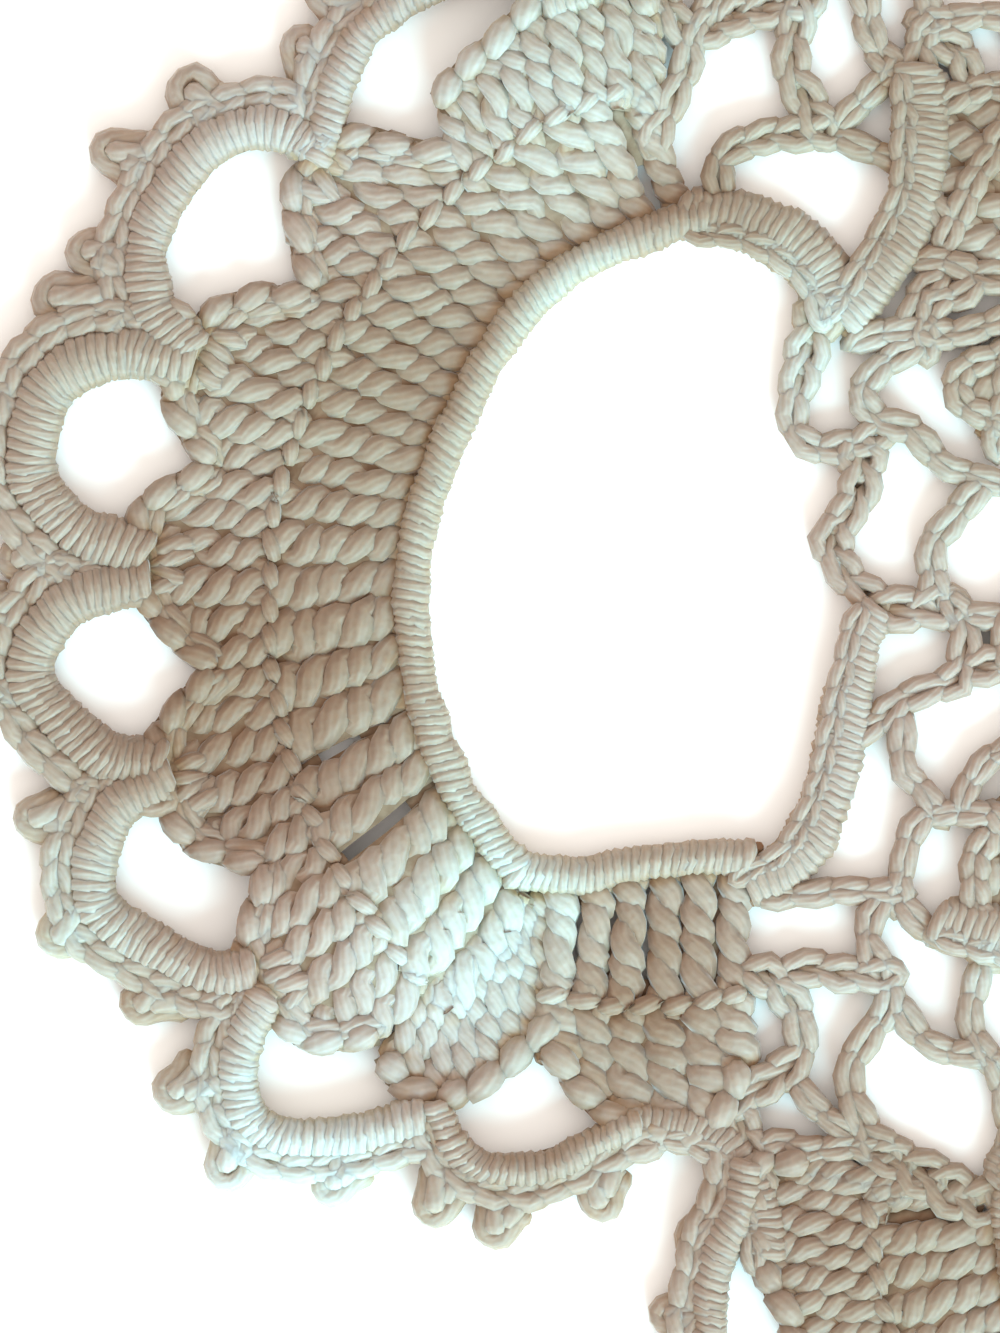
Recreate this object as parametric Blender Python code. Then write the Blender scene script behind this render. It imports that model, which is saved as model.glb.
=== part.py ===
"""Crocheted cotton doily: five fans round a wheel, held together by a chain net.

The doily lies flat on +Z up ground with its centre at the origin. It is worked in one piece,
so it is one solid: a plan of overlapping strips and petals is united, given a height and
thickened. Sizes are in millimetres until the last step, which turns them into metres.
"""
import math

import bmesh
import bpy
from mathutils import Vector
from mathutils.geometry import delaunay_2d_cdt

MM = 0.001
NAME = "lace_doily"

# ---- driving sizes, mm and degrees -------------------------------------------------------------
FAN_COUNT = 5
FAN_TURN = 360.0 / FAN_COUNT
FAN_EYE = (-69.9, -12.2)      # middle of the first fan's open eye, from the doily's centre
EYE_RADIUS = 38.6
RIM_WIDTH = 3.4
ROW_ONE_RADIUS = 54.7         # where the first row of trebles ends
FIRST_STATION = 109.7         # angle at the eye of the first rib of the fan
STATION_STEP = 9.62           # half a petal
STATION_COUNT = 13
NOTCH_RADIUS = 60.8
SHOULDER_RADIUS = 65.3
TIP_RADIUS = 68.0
SHOULDER_SHIFT = 3.6          # degrees from a notch to the petal's shoulder
TIP_SHIFT = 3.0               # degrees from a petal's middle to the side of its tip

SMALLEST_GAP = 9.0            # mm2, smaller gaps between stitches stay closed
JOIN_EPSILON = 0.03
SHORTEST_EDGE = 1.0
STRAIGHTNESS = 0.28
CROWN_RADIUS = 62.0           # where a petal stands highest
CROWN_SHARE = 0.5             # an end petal's raised middle, as a share of its outline
SLOPE_WIDTH = 3.0             # over which the rim falls to the level of row one
RIM_SLOPE_WIDTH = 4.0         # the same, outside the rim of the wheel
THINNING = 0.35               # mm, a station this near the line of its neighbours is left out

# Height of the crochet over its own underside.
HEIGHT = {"net": 2.2, "row": 2.5, "wheel": 2.6, "petal": 2.8, "picot": 2.9, "wheel_rim": 3.2,
          "crown": 3.6, "rim": 3.7, "arch": 3.9}

# ---- the first fan: end petals and arches ------------------------------------------------------
# Corners of the two end petals and the hidden one beside them: x, y.
END_PETALS = {
    "first": [(-107.4, 34.5), (-108.3, 37.5), (-106.6, 42.0), (-103.6, 43.8), (-101.1, 47.0),
              (-96.4, 48.5), (-92.1, 50.5), (-88.6, 53.0), (-87.1, 50.0), (-86.1, 46.0),
              (-85.6, 40.0), (-86.1, 33.0), (-83.6, 29.5), (-84.5, 25.8)],
    "tucked": [(-113.3, -56.5), (-112.6, -60.5), (-111.1, -62.2), (-105.1, -62.2),
               (-101.1, -60.0), (-95.4, -54.8), (-95.4, -46.0), (-95.8, -40.0), (-100.6, -40.0)],
    "last": [(-95.6, -40.3), (-76.1, -39.8), (-76.4, -48.0), (-76.6, -55.0), (-77.3, -59.5),
             (-77.6, -63.0), (-82.1, -67.0), (-87.1, -66.0), (-90.6, -64.5), (-94.1, -60.5),
             (-96.6, -56.0), (-96.6, -50.0)],
}
# The rim leaves its circle and runs straight under the last petals: x, y, width.
RIM_FOOT = [(-98.6, -38.6, 3.6), (-93.0, -38.7, 3.6), (-87.0, -38.6, 3.6), (-81.0, -38.4, 3.6),
            (-75.8, -38.2, 3.8)]
# Arches between the tips of neighbouring petals: station of each foot, radius of the first and
# the second half, width.
ARCHES = [
    (3, 5, 77.3, 77.3, 7.4),
    (5, 7, 81.0, 81.5, 8.4),
    (7, 9, 79.3, 79.3, 8.0),
    (9, 11, 78.9, 76.0, 7.4),
]
ARCH_RISE = [(0.0, 0.0), (0.09, 0.55), (0.28, 0.93), (0.5, 1.0), (0.72, 0.93), (0.91, 0.55),
             (1.0, 0.0)]      # share of the way along, share of the rise
# The arches at the fan's two ends go to its neighbours: x, y, width.
END_ARCHES = {
    "upper": [(-120.2, 32.1, 6.0), (-118.6, 38.5, 6.4), (-116.9, 43.0, 7.0), (-113.6, 47.0, 7.0),
              (-109.6, 49.6, 6.4), (-104.4, 51.5, 6.0), (-98.2, 53.0, 5.8), (-93.6, 53.3, 5.6),
              (-88.6, 53.7, 5.6)],
    "lower": [(-125.6, -51.2, 6.6), (-128.4, -57.5, 6.8), (-127.4, -63.5, 6.8),
              (-122.6, -66.7, 6.6), (-116.1, -66.4, 6.2), (-108.6, -64.5, 5.6)],
    "last": [(-108.6, -63.0, 6.0), (-105.6, -68.0, 6.0), (-101.6, -70.0, 5.6),
             (-96.1, -69.2, 5.4), (-90.6, -67.2, 5.2), (-86.1, -65.8, 5.0)],
}
# Picots stand on the arches: share of the way along each arch. On the middle arches they point
# straight out from the eye, on the end arches they stand square to the arch.
PICOT_PLACES = {"middle": (0.13, 0.48, 0.83), "upper": (0.14, 0.40, 0.62, 0.84),
                "lower": (0.22, 0.50, 0.76), "last": (0.17, 0.40, 0.82)}
PICOT_FOOT = 5.2
PICOT_TOP = 3.8
PICOT_LENGTH = 3.4
PICOT_ROOT = 5.0              # how deep a picot's foot reaches into the arch
MIDDLE_SINK = 0.8             # how far inside the arch's edge a picot's sides start
END_SINK = 0.3
ARCH_SINK = 1.0               # how far an arch's feet reach into the petals' tips
ARCH_HALFWAY = 0.6            # share of the way along at which the second radius takes over

# ---- the chain net between the fan and the wheel: x, y, width ----------------------------------
NET = {
    "eye_top": [(-83.0, 26.6, 4.6), (-77.1, 25.8, 4.8), (-72.1, 23.8, 5.0), (-68.6, 20.8, 5.2),
                (-67.0, 17.0, 5.4)],
    "eye_side": [(-68.4, 18.5, 5.6), (-70.3, 13.0, 4.8), (-71.4, 9.5, 3.8), (-72.0, 7.0, 3.0),
                 (-71.4, 4.4, 3.0), (-69.2, 3.2, 3.2), (-66.1, 3.3, 3.6), (-63.1, 4.6, 3.4)],
    "wheel_cord": [(-59.6, 41.0, 5.6), (-59.1, 35.0, 5.6), (-59.6, 29.0, 5.6), (-61.6, 24.0, 5.6),
                   (-64.1, 20.0, 5.6), (-67.1, 16.0, 5.6)],
    "knot_one": [(-65.2, 4.5, 4.8), (-64.9, 1.5, 5.2), (-65.2, -1.5, 4.4)],
    "side_one": [(-65.2, -1.0, 4.4), (-66.4, -3.4, 3.8), (-67.8, -5.6, 3.8), (-67.2, -8.2, 3.8),
                 (-65.9, -10.2, 3.8), (-63.6, -12.0, 4.2)],
    "hook": [(-58.6, 13.5, 3.2), (-62.1, 12.0, 3.2), (-64.7, 9.8, 3.0), (-64.9, 7.6, 3.0),
             (-63.1, 5.8, 3.0), (-60.6, 5.2, 3.2), (-58.6, 3.3, 3.0), (-56.1, 1.0, 2.8),
             (-52.6, 0.0, 2.8), (-49.0, -1.5, 2.8), (-44.5, -3.0, 2.8)],
    "shelf": [(-66.4, 13.6, 2.8), (-63.1, 14.6, 3.0), (-60.0, 15.0, 3.0), (-56.6, 14.4, 3.0),
              (-53.0, 15.2, 3.0), (-50.0, 16.2, 3.0)],
    "curl": [(-60.6, 21.8, 2.6), (-57.6, 22.0, 2.6), (-54.6, 21.0, 2.8), (-53.6, 19.4, 3.0),
             (-55.6, 18.2, 3.0), (-57.8, 17.6, 3.2), (-58.6, 15.6, 3.2), (-58.6, 13.2, 3.2)],
    "curl_end": [(-54.6, 20.6, 3.4), (-51.0, 20.0, 4.0), (-46.0, 19.0, 4.0), (-41.0, 17.0, 4.0)],
    "arm": [(-52.6, 0.0, 3.0), (-54.6, -1.6, 2.8), (-56.6, -3.5, 2.6), (-58.3, -5.5, 2.6),
            (-58.7, -7.8, 2.6), (-58.3, -10.0, 3.0), (-57.6, -12.0, 3.4)],
    "knot_two": [(-64.6, -12.3, 4.0), (-60.1, -12.9, 4.8), (-56.1, -12.6, 4.8)],
    "wrist": [(-56.6, -11.0, 3.6), (-54.9, -14.6, 3.6), (-54.8, -17.5, 3.6), (-55.8, -20.0, 3.8),
              (-58.6, -21.0, 3.2), (-61.6, -22.5, 3.4), (-63.3, -24.2, 3.4), (-66.0, -25.6, 3.2)],
    "wrist_link": [(-55.2, -13.5, 3.0), (-52.0, -13.6, 2.6), (-48.0, -14.0, 2.6)],
    "wrist_web": [(-55.0, -19.0, 4.0), (-52.0, -18.6, 4.2), (-48.0, -18.0, 4.4)],
    "strap": [(-64.6, -12.6, 4.4), (-66.1, -16.5, 3.6), (-66.6, -20.5, 4.8), (-67.2, -25.0, 5.8),
              (-67.9, -30.0, 5.0), (-69.2, -34.3, 5.2), (-72.2, -38.0, 5.2), (-76.4, -40.4, 5.0)],
    "loops": [(-60.4, -23.0, 2.6), (-60.6, -26.6, 3.4), (-60.2, -29.4, 2.8), (-58.8, -31.0, 2.8),
              (-57.6, -33.2, 2.6)],
    "foot_chain": [(-76.0, -41.2, 4.0), (-71.1, -41.2, 2.4), (-66.1, -40.9, 2.4),
                   (-61.6, -41.2, 2.8)],
    "stem": [(-51.6, -33.4, 2.6), (-55.1, -33.1, 2.8), (-58.6, -33.6, 2.6), (-60.6, -35.6, 2.6),
             (-61.2, -38.5, 2.6), (-61.6, -42.0, 3.4)],
    "stem_arm": [(-55.1, -33.6, 2.8), (-54.8, -31.0, 2.4), (-53.4, -28.9, 2.4),
                 (-51.0, -27.2, 2.4), (-46.0, -24.6, 2.6), (-40.5, -21.5, 2.6)],
    "side_loop": [(-77.0, -48.6, 3.2), (-73.6, -49.6, 3.2), (-71.8, -52.2, 3.2),
                  (-71.1, -55.0, 2.8), (-71.2, -57.6, 3.0), (-73.0, -60.0, 3.8),
                  (-76.0, -61.6, 3.8), (-78.5, -62.6, 3.4)],
    "side_spur": [(-71.4, -59.2, 2.6), (-69.8, -61.8, 2.4), (-68.1, -63.8, 2.4),
                  (-66.0, -65.2, 3.0)],
    "corner": [(-88.0, -65.5, 5.0), (-82.0, -66.4, 5.2), (-78.2, -69.6, 5.6), (-76.2, -74.0, 5.4),
               (-75.2, -77.5, 5.0)],
    "corner_web": [(-78.0, -62.0, 4.0), (-76.2, -66.5, 4.0), (-75.6, -71.0, 5.0)],
}
# Two ways in which the net closes the corner between two fans. The open one is placed at the
# first fan's start, the crossed one at its end.
OPEN_CORNER = {
    "beam": [(-82.5, 44.0, 4.6), (-78.1, 46.2, 4.6), (-74.1, 47.1, 4.4), (-70.4, 47.8, 4.2)],
    "beam_leg": [(-71.2, 48.0, 4.2), (-72.2, 41.5, 3.8), (-70.7, 38.0, 4.0), (-68.8, 34.6, 4.2)],
    "bow": [(-79.2, 28.0, 3.8), (-79.5, 31.0, 3.0), (-77.8, 33.0, 3.0), (-74.6, 34.4, 3.2),
            (-71.1, 34.6, 3.4), (-67.4, 35.0, 3.4)],
    "bow_up": [(-67.8, 34.8, 3.2), (-65.4, 37.4, 2.8), (-63.5, 39.6, 2.8), (-61.0, 41.6, 3.0)],
    "bow_down": [(-68.0, 34.6, 2.8), (-65.0, 33.2, 2.6), (-62.4, 32.2, 2.6), (-60.4, 31.0, 3.0)],
    "pillar": [(-60.6, 40.4, 3.4), (-63.2, 42.4, 3.4), (-64.5, 45.5, 3.2), (-64.8, 48.5, 3.2),
               (-66.2, 51.4, 3.0), (-69.4, 53.6, 3.0)],
    "flank": [(-87.1, 50.0, 4.0), (-83.2, 46.0, 4.2), (-81.8, 42.0, 4.4), (-83.0, 38.0, 4.4),
              (-85.4, 33.0, 4.4)],
    "cap": [(-57.6, 46.4, 3.0), (-59.2, 43.6, 3.4), (-59.8, 40.6, 4.0)],
}
CROSSED_CORNER = {
    "leg": [(-62.0, -50.0, 3.4), (-62.7, -53.0, 3.2), (-64.7, -56.0, 3.0), (-66.2, -59.0, 3.0),
            (-65.7, -62.0, 3.2), (-64.6, -64.8, 3.8), (-62.6, -67.4, 4.6)],
    "swag": [(-61.9, -51.6, 3.2), (-60.3, -53.8, 2.8), (-58.1, -56.0, 2.6), (-55.4, -57.4, 2.6),
             (-52.4, -57.8, 3.0), (-51.2, -61.0, 3.4), (-50.8, -66.0, 3.4), (-51.8, -71.0, 3.6)],
    "drop": [(-52.6, -47.5, 3.0), (-53.6, -50.8, 2.4), (-54.3, -53.2, 2.3), (-53.4, -55.6, 2.4),
             (-52.0, -58.0, 2.8)],
    "shelf": [(-75.6, -67.0, 2.6), (-73.0, -65.8, 2.6), (-70.8, -66.8, 2.4), (-66.4, -66.4, 2.8),
              (-63.0, -67.0, 3.4)],
    "sill": [(-64.4, -66.6, 4.0), (-60.1, -68.6, 5.0), (-56.1, -71.0, 5.4), (-52.0, -72.6, 5.0)],
    "arm": [(-61.6, -41.4, 3.4), (-59.6, -44.3, 2.8), (-57.6, -45.5, 2.8), (-54.6, -46.3, 3.0),
            (-51.6, -47.6, 3.6)],
    "elbow": [(-62.4, -41.0, 3.4), (-64.2, -43.6, 2.8), (-64.3, -46.2, 2.8), (-63.4, -48.6, 3.6)],
    "bar": [(-73.0, -49.0, 3.0), (-69.6, -48.2, 3.2), (-66.1, -49.0, 3.4), (-62.4, -49.4, 3.8)],
}
CORNER_KIND = ("open", "crossed", "open", "crossed", "open")

# ---- the wheel ---------------------------------------------------------------------------------
WHEEL_HUB = 11.5
SPOKE_COUNT = 15
SPOKE_WIDTH = 2.4
SPOKE_SINK = 1.2              # how far a spoke reaches into the hub and into the rim
WHEEL_RING = (19.5, 41.5)     # solid rows of trebles, inner and outer radius
WHEEL_RIM = (19.5, 22.5)
WHEEL_SIDES = 36
# Petals of the wheel: middle angle, then radius and half angle of each corner going outwards.
WHEEL_PETALS = {
    "long": (148.5, [(40.5, 11.0), (57.0, 10.2), (66.0, 7.0), (69.5, 3.0)]),
    "middle": (172.5, [(40.5, 9.5), (51.0, 8.0), (57.5, 3.5)]),
    "short": (199.0, [(40.5, 9.5), (49.0, 7.6), (54.0, 4.0)]),
}

# ---- how the finished lace lies ----------------------------------------------------------------
# Petals that puff up from the table: fan, angle and radius from its eye, lift, reach.
PUFFS = [
    (0, 116.0, 58.0, 4.2, 17.0),
    (0, 214.0, 56.0, 3.6, 17.0),
    (1, 158.0, 58.0, 3.0, 16.0),
    (1, 240.0, 52.0, 3.4, 16.0),
    (2, 126.0, 58.0, 3.6, 17.0),
    (2, 196.0, 58.0, 2.6, 15.0),
    (3, 176.0, 58.0, 3.4, 17.0),
    (3, 116.0, 58.0, 3.8, 16.0),
    (4, 148.0, 58.0, 2.8, 16.0),
    (4, 222.0, 56.0, 3.6, 17.0),
]
# Hand work strays a little from a true circle. The first fan, left of PULL_START, doesn't: it is
# the pattern for the others. Waves are counted round the doily, phases are in radians.
PULL = 1.4
PULL_START = -46.0
PULL_FADE = 60.0
PULL_RADIUS = 150.0
SWELL_WAVES, SWELL_PHASE = 3.0, 0.6
SWAY_WAVES, SWAY_PHASE = 2.0, -1.1


def polar(radius, degrees, centre=(0.0, 0.0)):
    """Point at a radius and an angle from a centre."""
    angle = math.radians(degrees)
    return (centre[0] + radius * math.cos(angle), centre[1] + radius * math.sin(angle))


def turned(point, degrees):
    """Point turned about the doily's centre, with any further columns kept."""
    angle = math.radians(degrees)
    x, y = point[:2]
    spin = (x * math.cos(angle) - y * math.sin(angle), x * math.sin(angle) + y * math.cos(angle))
    return spin + tuple(point[2:])


def fan_angle(station):
    return FIRST_STATION + STATION_STEP * station


def thinned(stations):
    """Stations without those that lie on the line between their neighbours."""
    kept = [stations[0]]
    for index in range(1, len(stations) - 1):
        before, here, after = (Vector(s[:3]) for s in (kept[-1], *stations[index:index + 2]))
        along = (after - before).normalized()
        stray = (here - before) - along * (here - before).dot(along)
        if stray.length > THINNING:
            kept.append(stations[index])
    return kept + [stations[-1]]


def strip_faces(stations):
    """Quads along a centre line whose stations are x, y, width."""
    stations = thinned(stations)
    centres = [Vector(station[:2]) for station in stations]
    sides = []
    for index, centre in enumerate(centres):
        before = centres[max(index - 1, 0)]
        after = centres[min(index + 1, len(centres) - 1)]
        along = (after - before).normalized()
        across = Vector((-along.y, along.x)) * stations[index][2] / 2
        sides.append((centre + across, centre - across))
    return [(sides[i][0], sides[i][1], sides[i + 1][1], sides[i + 1][0])
            for i in range(len(sides) - 1)]


def crown_outline(outline):
    """The raised middle of a petal: every second corner, drawn halfway in."""
    middle = Vector((0.0, 0.0))
    for point in outline:
        middle += Vector(point) / len(outline)
    return [middle.lerp(Vector(point), CROWN_SHARE) for point in outline[::2]]


class Plan:
    """Overlapping flat shapes, each with the height of its crochet."""

    def __init__(self):
        self.shapes = []

    def add(self, outline, kind, turn=0.0):
        corners = [Vector(turned(tuple(point), turn)) for point in outline]
        if sum(corners[i - 1].cross(corners[i]) for i in range(len(corners))) < 0:
            corners.reverse()
        self.shapes.append((corners, kind))

    def add_strip(self, stations, kind, turn=0.0):
        for quad in strip_faces(stations):
            self.add(quad, kind, turn)

    def triangles(self):
        """Constrained triangulation of all outlines: points, triangles, covering shapes."""
        points, faces = [], []
        for corners, _kind in self.shapes:
            faces.append(list(range(len(points), len(points) + len(corners))))
            points.extend(corners)
        found = delaunay_2d_cdt(points, [], faces, 0, JOIN_EPSILON, True)
        return found[0], found[2], found[5]


# ---- the fan -----------------------------------------------------------------------------------
def row_band(inner, outer):
    """Quads of a ring of stitches round the fan's eye, one for each station."""
    quads = []
    for station in range(STATION_COUNT - 1):
        start, end = fan_angle(station), fan_angle(station + 1)
        quads.append([polar(inner, start, FAN_EYE), polar(outer, start, FAN_EYE),
                      polar(outer, end, FAN_EYE), polar(inner, end, FAN_EYE)])
    return quads


def petal_outline(tip_station):
    """A petal from the end of row one out to its tip."""
    middle = fan_angle(tip_station)
    left, right = fan_angle(tip_station - 1), fan_angle(tip_station + 1)
    outer = [(NOTCH_RADIUS, left), (SHOULDER_RADIUS, left + SHOULDER_SHIFT),
             (TIP_RADIUS, middle - TIP_SHIFT), (TIP_RADIUS, middle + TIP_SHIFT),
             (SHOULDER_RADIUS, right - SHOULDER_SHIFT), (NOTCH_RADIUS, right)]
    foot = [(ROW_ONE_RADIUS, right), (ROW_ONE_RADIUS, middle), (ROW_ONE_RADIUS, left)]
    return [polar(radius, angle, FAN_EYE) for radius, angle in outer + foot]


def arch_stations(first, last, near_radius, far_radius, width):
    """Centre line of a covered arch from one petal's tip to the next."""
    start, end = fan_angle(first), fan_angle(last)
    foot = TIP_RADIUS - ARCH_SINK
    stations = []
    for share, rise in ARCH_RISE:
        radius = near_radius if share < ARCH_HALFWAY else far_radius
        place = polar(foot + (radius - foot) * rise, start + (end - start) * share, FAN_EYE)
        stations.append(place + (width,))
    return stations


def picot_outline(edge, out):
    """A small blunt tooth that stands on the outer edge of an arch."""
    across = Vector((-out.y, out.x))
    foot = edge - out * PICOT_ROOT
    top = edge + out * PICOT_LENGTH
    return [foot - across * PICOT_FOOT / 2, edge - across * PICOT_FOOT / 2,
            top - across * PICOT_TOP / 2, top + across * PICOT_TOP / 2,
            edge + across * PICOT_FOOT / 2, foot + across * PICOT_FOOT / 2]


def middle_picots(first, last, near_radius, far_radius, width):
    """Picots of a middle arch, in line with the eye."""
    start, end = fan_angle(first), fan_angle(last)
    outlines = []
    for share in PICOT_PLACES["middle"]:
        out = Vector(polar(1.0, start + (end - start) * share))
        radius = near_radius if share < ARCH_HALFWAY else far_radius
        edge = Vector(FAN_EYE) + out * (radius + width / 2 - MIDDLE_SINK)
        outlines.append(picot_outline(edge, out))
    return outlines


def end_picots(stations, shares):
    """Picots of an end arch, square to it."""
    centres = [Vector(station[:2]) for station in stations]
    outlines = []
    for share in shares:
        place = share * (len(centres) - 1)
        index = min(int(place), len(centres) - 2)
        foot = centres[index].lerp(centres[index + 1], place - index)
        along = (centres[index + 1] - centres[index]).normalized()
        out = Vector((-along.y, along.x))
        if out.dot(foot - Vector(FAN_EYE)) < 0:
            out = -out
        outlines.append(picot_outline(foot + out * (stations[index][2] / 2 - END_SINK), out))
    return outlines


def add_fan(plan, turn):
    rim_edge = EYE_RADIUS + RIM_WIDTH
    for quad in row_band(EYE_RADIUS, rim_edge):
        plan.add(quad, "rim", turn)
    for quad in row_band(rim_edge, ROW_ONE_RADIUS):
        plan.add(quad, "row", turn)
    plan.add_strip(RIM_FOOT, "rim", turn)
    for tip_station in range(3, STATION_COUNT - 1, 2):
        plan.add(petal_outline(tip_station), "petal", turn)
    for outline in END_PETALS.values():
        plan.add(outline, "petal", turn)
    for arch in ARCHES:
        plan.add_strip(arch_stations(*arch), "arch", turn)
        for outline in middle_picots(*arch):
            plan.add(outline, "picot", turn)
    for name, stations in END_ARCHES.items():
        plan.add_strip(stations, "arch", turn)
        for outline in end_picots(stations, PICOT_PLACES[name]):
            plan.add(outline, "picot", turn)


# ---- the net and the wheel ---------------------------------------------------------------------
def add_net(plan, fan):
    for stations in NET.values():
        plan.add_strip(stations, "net", fan * FAN_TURN)
    if CORNER_KIND[fan] == "open":
        for stations in OPEN_CORNER.values():
            plan.add_strip(stations, "net", fan * FAN_TURN)
    else:
        for stations in CROSSED_CORNER.values():
            plan.add_strip(stations, "net", (fan - 1) * FAN_TURN)


def add_ring(plan, inner, outer, kind):
    for side in range(WHEEL_SIDES):
        start = 360.0 * side / WHEEL_SIDES
        end = 360.0 * ((side + 1) % WHEEL_SIDES) / WHEEL_SIDES
        plan.add([polar(inner, start), polar(outer, start), polar(outer, end), polar(inner, end)],
                 kind)


def add_wheel(plan):
    hub = [polar(WHEEL_HUB, 360.0 * side / SPOKE_COUNT) for side in range(SPOKE_COUNT)]
    plan.add(hub, "wheel")
    for spoke in range(SPOKE_COUNT):
        angle = 360.0 * (spoke + 0.5) / SPOKE_COUNT
        foot = polar(WHEEL_HUB - SPOKE_SINK, angle) + (SPOKE_WIDTH,)
        head = polar(WHEEL_RIM[0] + SPOKE_SINK, angle) + (SPOKE_WIDTH,)
        plan.add_strip([foot, head], "net")
    add_ring(plan, WHEEL_RIM[0], WHEEL_RIM[1], "wheel_rim")
    add_ring(plan, WHEEL_RIM[1], WHEEL_RING[1], "wheel")
    for fan in range(FAN_COUNT):
        for middle, corners in WHEEL_PETALS.values():
            left = [polar(radius, middle - half) for radius, half in corners]
            right = [polar(radius, middle + half) for radius, half in reversed(corners)]
            plan.add(left + right, "wheel", fan * FAN_TURN)


# ---- from the plan to the solid ----------------------------------------------------------------
def loop_area(points):
    return sum(points[i - 1].cross(points[i]) for i in range(len(points))) / 2


def kept_triangles(points, triangles, owners):
    """Covered triangles, and those of gaps too small to cut through."""
    edge_users = {}
    for index, triangle in enumerate(triangles):
        for i in range(3):
            edge = frozenset((triangle[i], triangle[i - 1]))
            edge_users.setdefault(edge, []).append(index)
    kept = {index for index, owner in enumerate(owners) if owner}
    seen = set(kept)
    for start in range(len(triangles)):
        if start in seen:
            continue
        gap, queue, reaches_outside = [], [start], False
        seen.add(start)
        while queue:
            index = queue.pop()
            gap.append(index)
            triangle = triangles[index]
            for i in range(3):
                users = edge_users[frozenset((triangle[i], triangle[i - 1]))]
                reaches_outside = reaches_outside or len(users) == 1
                fresh = [user for user in users if user not in seen]
                seen.update(fresh)
                queue.extend(fresh)
        area = sum(loop_area([points[v] for v in triangles[index]]) for index in gap)
        if not reaches_outside and area < SMALLEST_GAP:
            kept.update(gap)
    return kept


def boundary_loops(triangles, kept):
    """Closed rounds of points, with the crochet always on their left."""
    directed = {(triangles[index][i - 1], triangles[index][i]) for index in kept for i in range(3)}
    follow = {}
    for start, end in sorted(directed):
        if (end, start) not in directed:
            follow.setdefault(start, []).append(end)
    loops = []
    while follow:
        start = here = next(iter(follow))
        loop = []
        while here in follow:
            loop.append(here)
            ways = follow[here]
            after = ways.pop()
            if not ways:
                del follow[here]
            here = after
        loops.append(loop)
    return loops


def plainer(loop, points):
    """Loop without its shortest steps and without points that lie nearly on a line."""
    spread = []
    for v in loop:
        if not spread or (points[v] - points[spread[-1]]).length > SHORTEST_EDGE:
            spread.append(v)
    if (points[spread[-1]] - points[spread[0]]).length < SHORTEST_EDGE:
        spread.pop()
    kept = spread[:1]
    for index in range(1, len(spread)):
        here, after = points[spread[index]], points[spread[(index + 1) % len(spread)]]
        along = (after - points[kept[-1]]).normalized()
        if abs(along.cross(here - points[kept[-1]])) > STRAIGHTNESS:
            kept.append(spread[index])
    return kept


def relief_points():
    """Points inside the crochet at which its height changes: x, y and kind."""
    spots = []
    rim_edge = EYE_RADIUS + RIM_WIDTH
    for fan in range(FAN_COUNT):
        turn = fan * FAN_TURN
        for station in range(1, STATION_COUNT - 1):
            angle = fan_angle(station)
            for radius, kind in ((rim_edge, "rim"), (rim_edge + SLOPE_WIDTH, "row"),
                                 (ROW_ONE_RADIUS, "row")):
                spots.append(turned(polar(radius, angle, FAN_EYE), turn) + (kind,))
        for tip_station in range(3, STATION_COUNT - 1, 2):
            for shift in (-1.0, 1.0):
                place = polar(CROWN_RADIUS, fan_angle(tip_station) + shift * TIP_SHIFT, FAN_EYE)
                spots.append(turned(place, turn) + ("crown",))
        for outline in END_PETALS.values():
            for place in crown_outline(outline):
                spots.append(turned(tuple(place), turn) + ("crown",))
    for side in range(0, WHEEL_SIDES, 2):
        angle = 360.0 * side / WHEEL_SIDES
        spots.append(polar(WHEEL_RIM[1], angle) + ("wheel_rim",))
        spots.append(polar(WHEEL_RIM[1] + RIM_SLOPE_WIDTH, angle) + ("wheel",))
    return spots


def puff_height(point):
    """Height of the underside over the table."""
    height = 0.0
    for fan, angle, radius, lift, reach in PUFFS:
        centre = Vector(turned(polar(radius, angle, FAN_EYE), fan * FAN_TURN))
        share = (point - centre).length / reach
        if share < 1.0:
            height = max(height, lift * (1.0 - share ** 2) ** 2)
    return height


def pulled(point):
    """Point of the finished lace, a little out of round away from the first fan."""
    share = min(max((point.x - PULL_START) / PULL_FADE, 0.0), 1.0)
    stray = PULL * share * point.length / PULL_RADIUS
    angle = math.atan2(point.y, point.x)
    swell = stray * math.sin(SWELL_WAVES * angle + SWELL_PHASE)
    sway = stray * math.sin(SWAY_WAVES * angle + SWAY_PHASE)
    out = point.normalized() if point.length > 1.0 else Vector((0.0, 0.0))
    return point + out * swell + Vector((-out.y, out.x)) * sway


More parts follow.
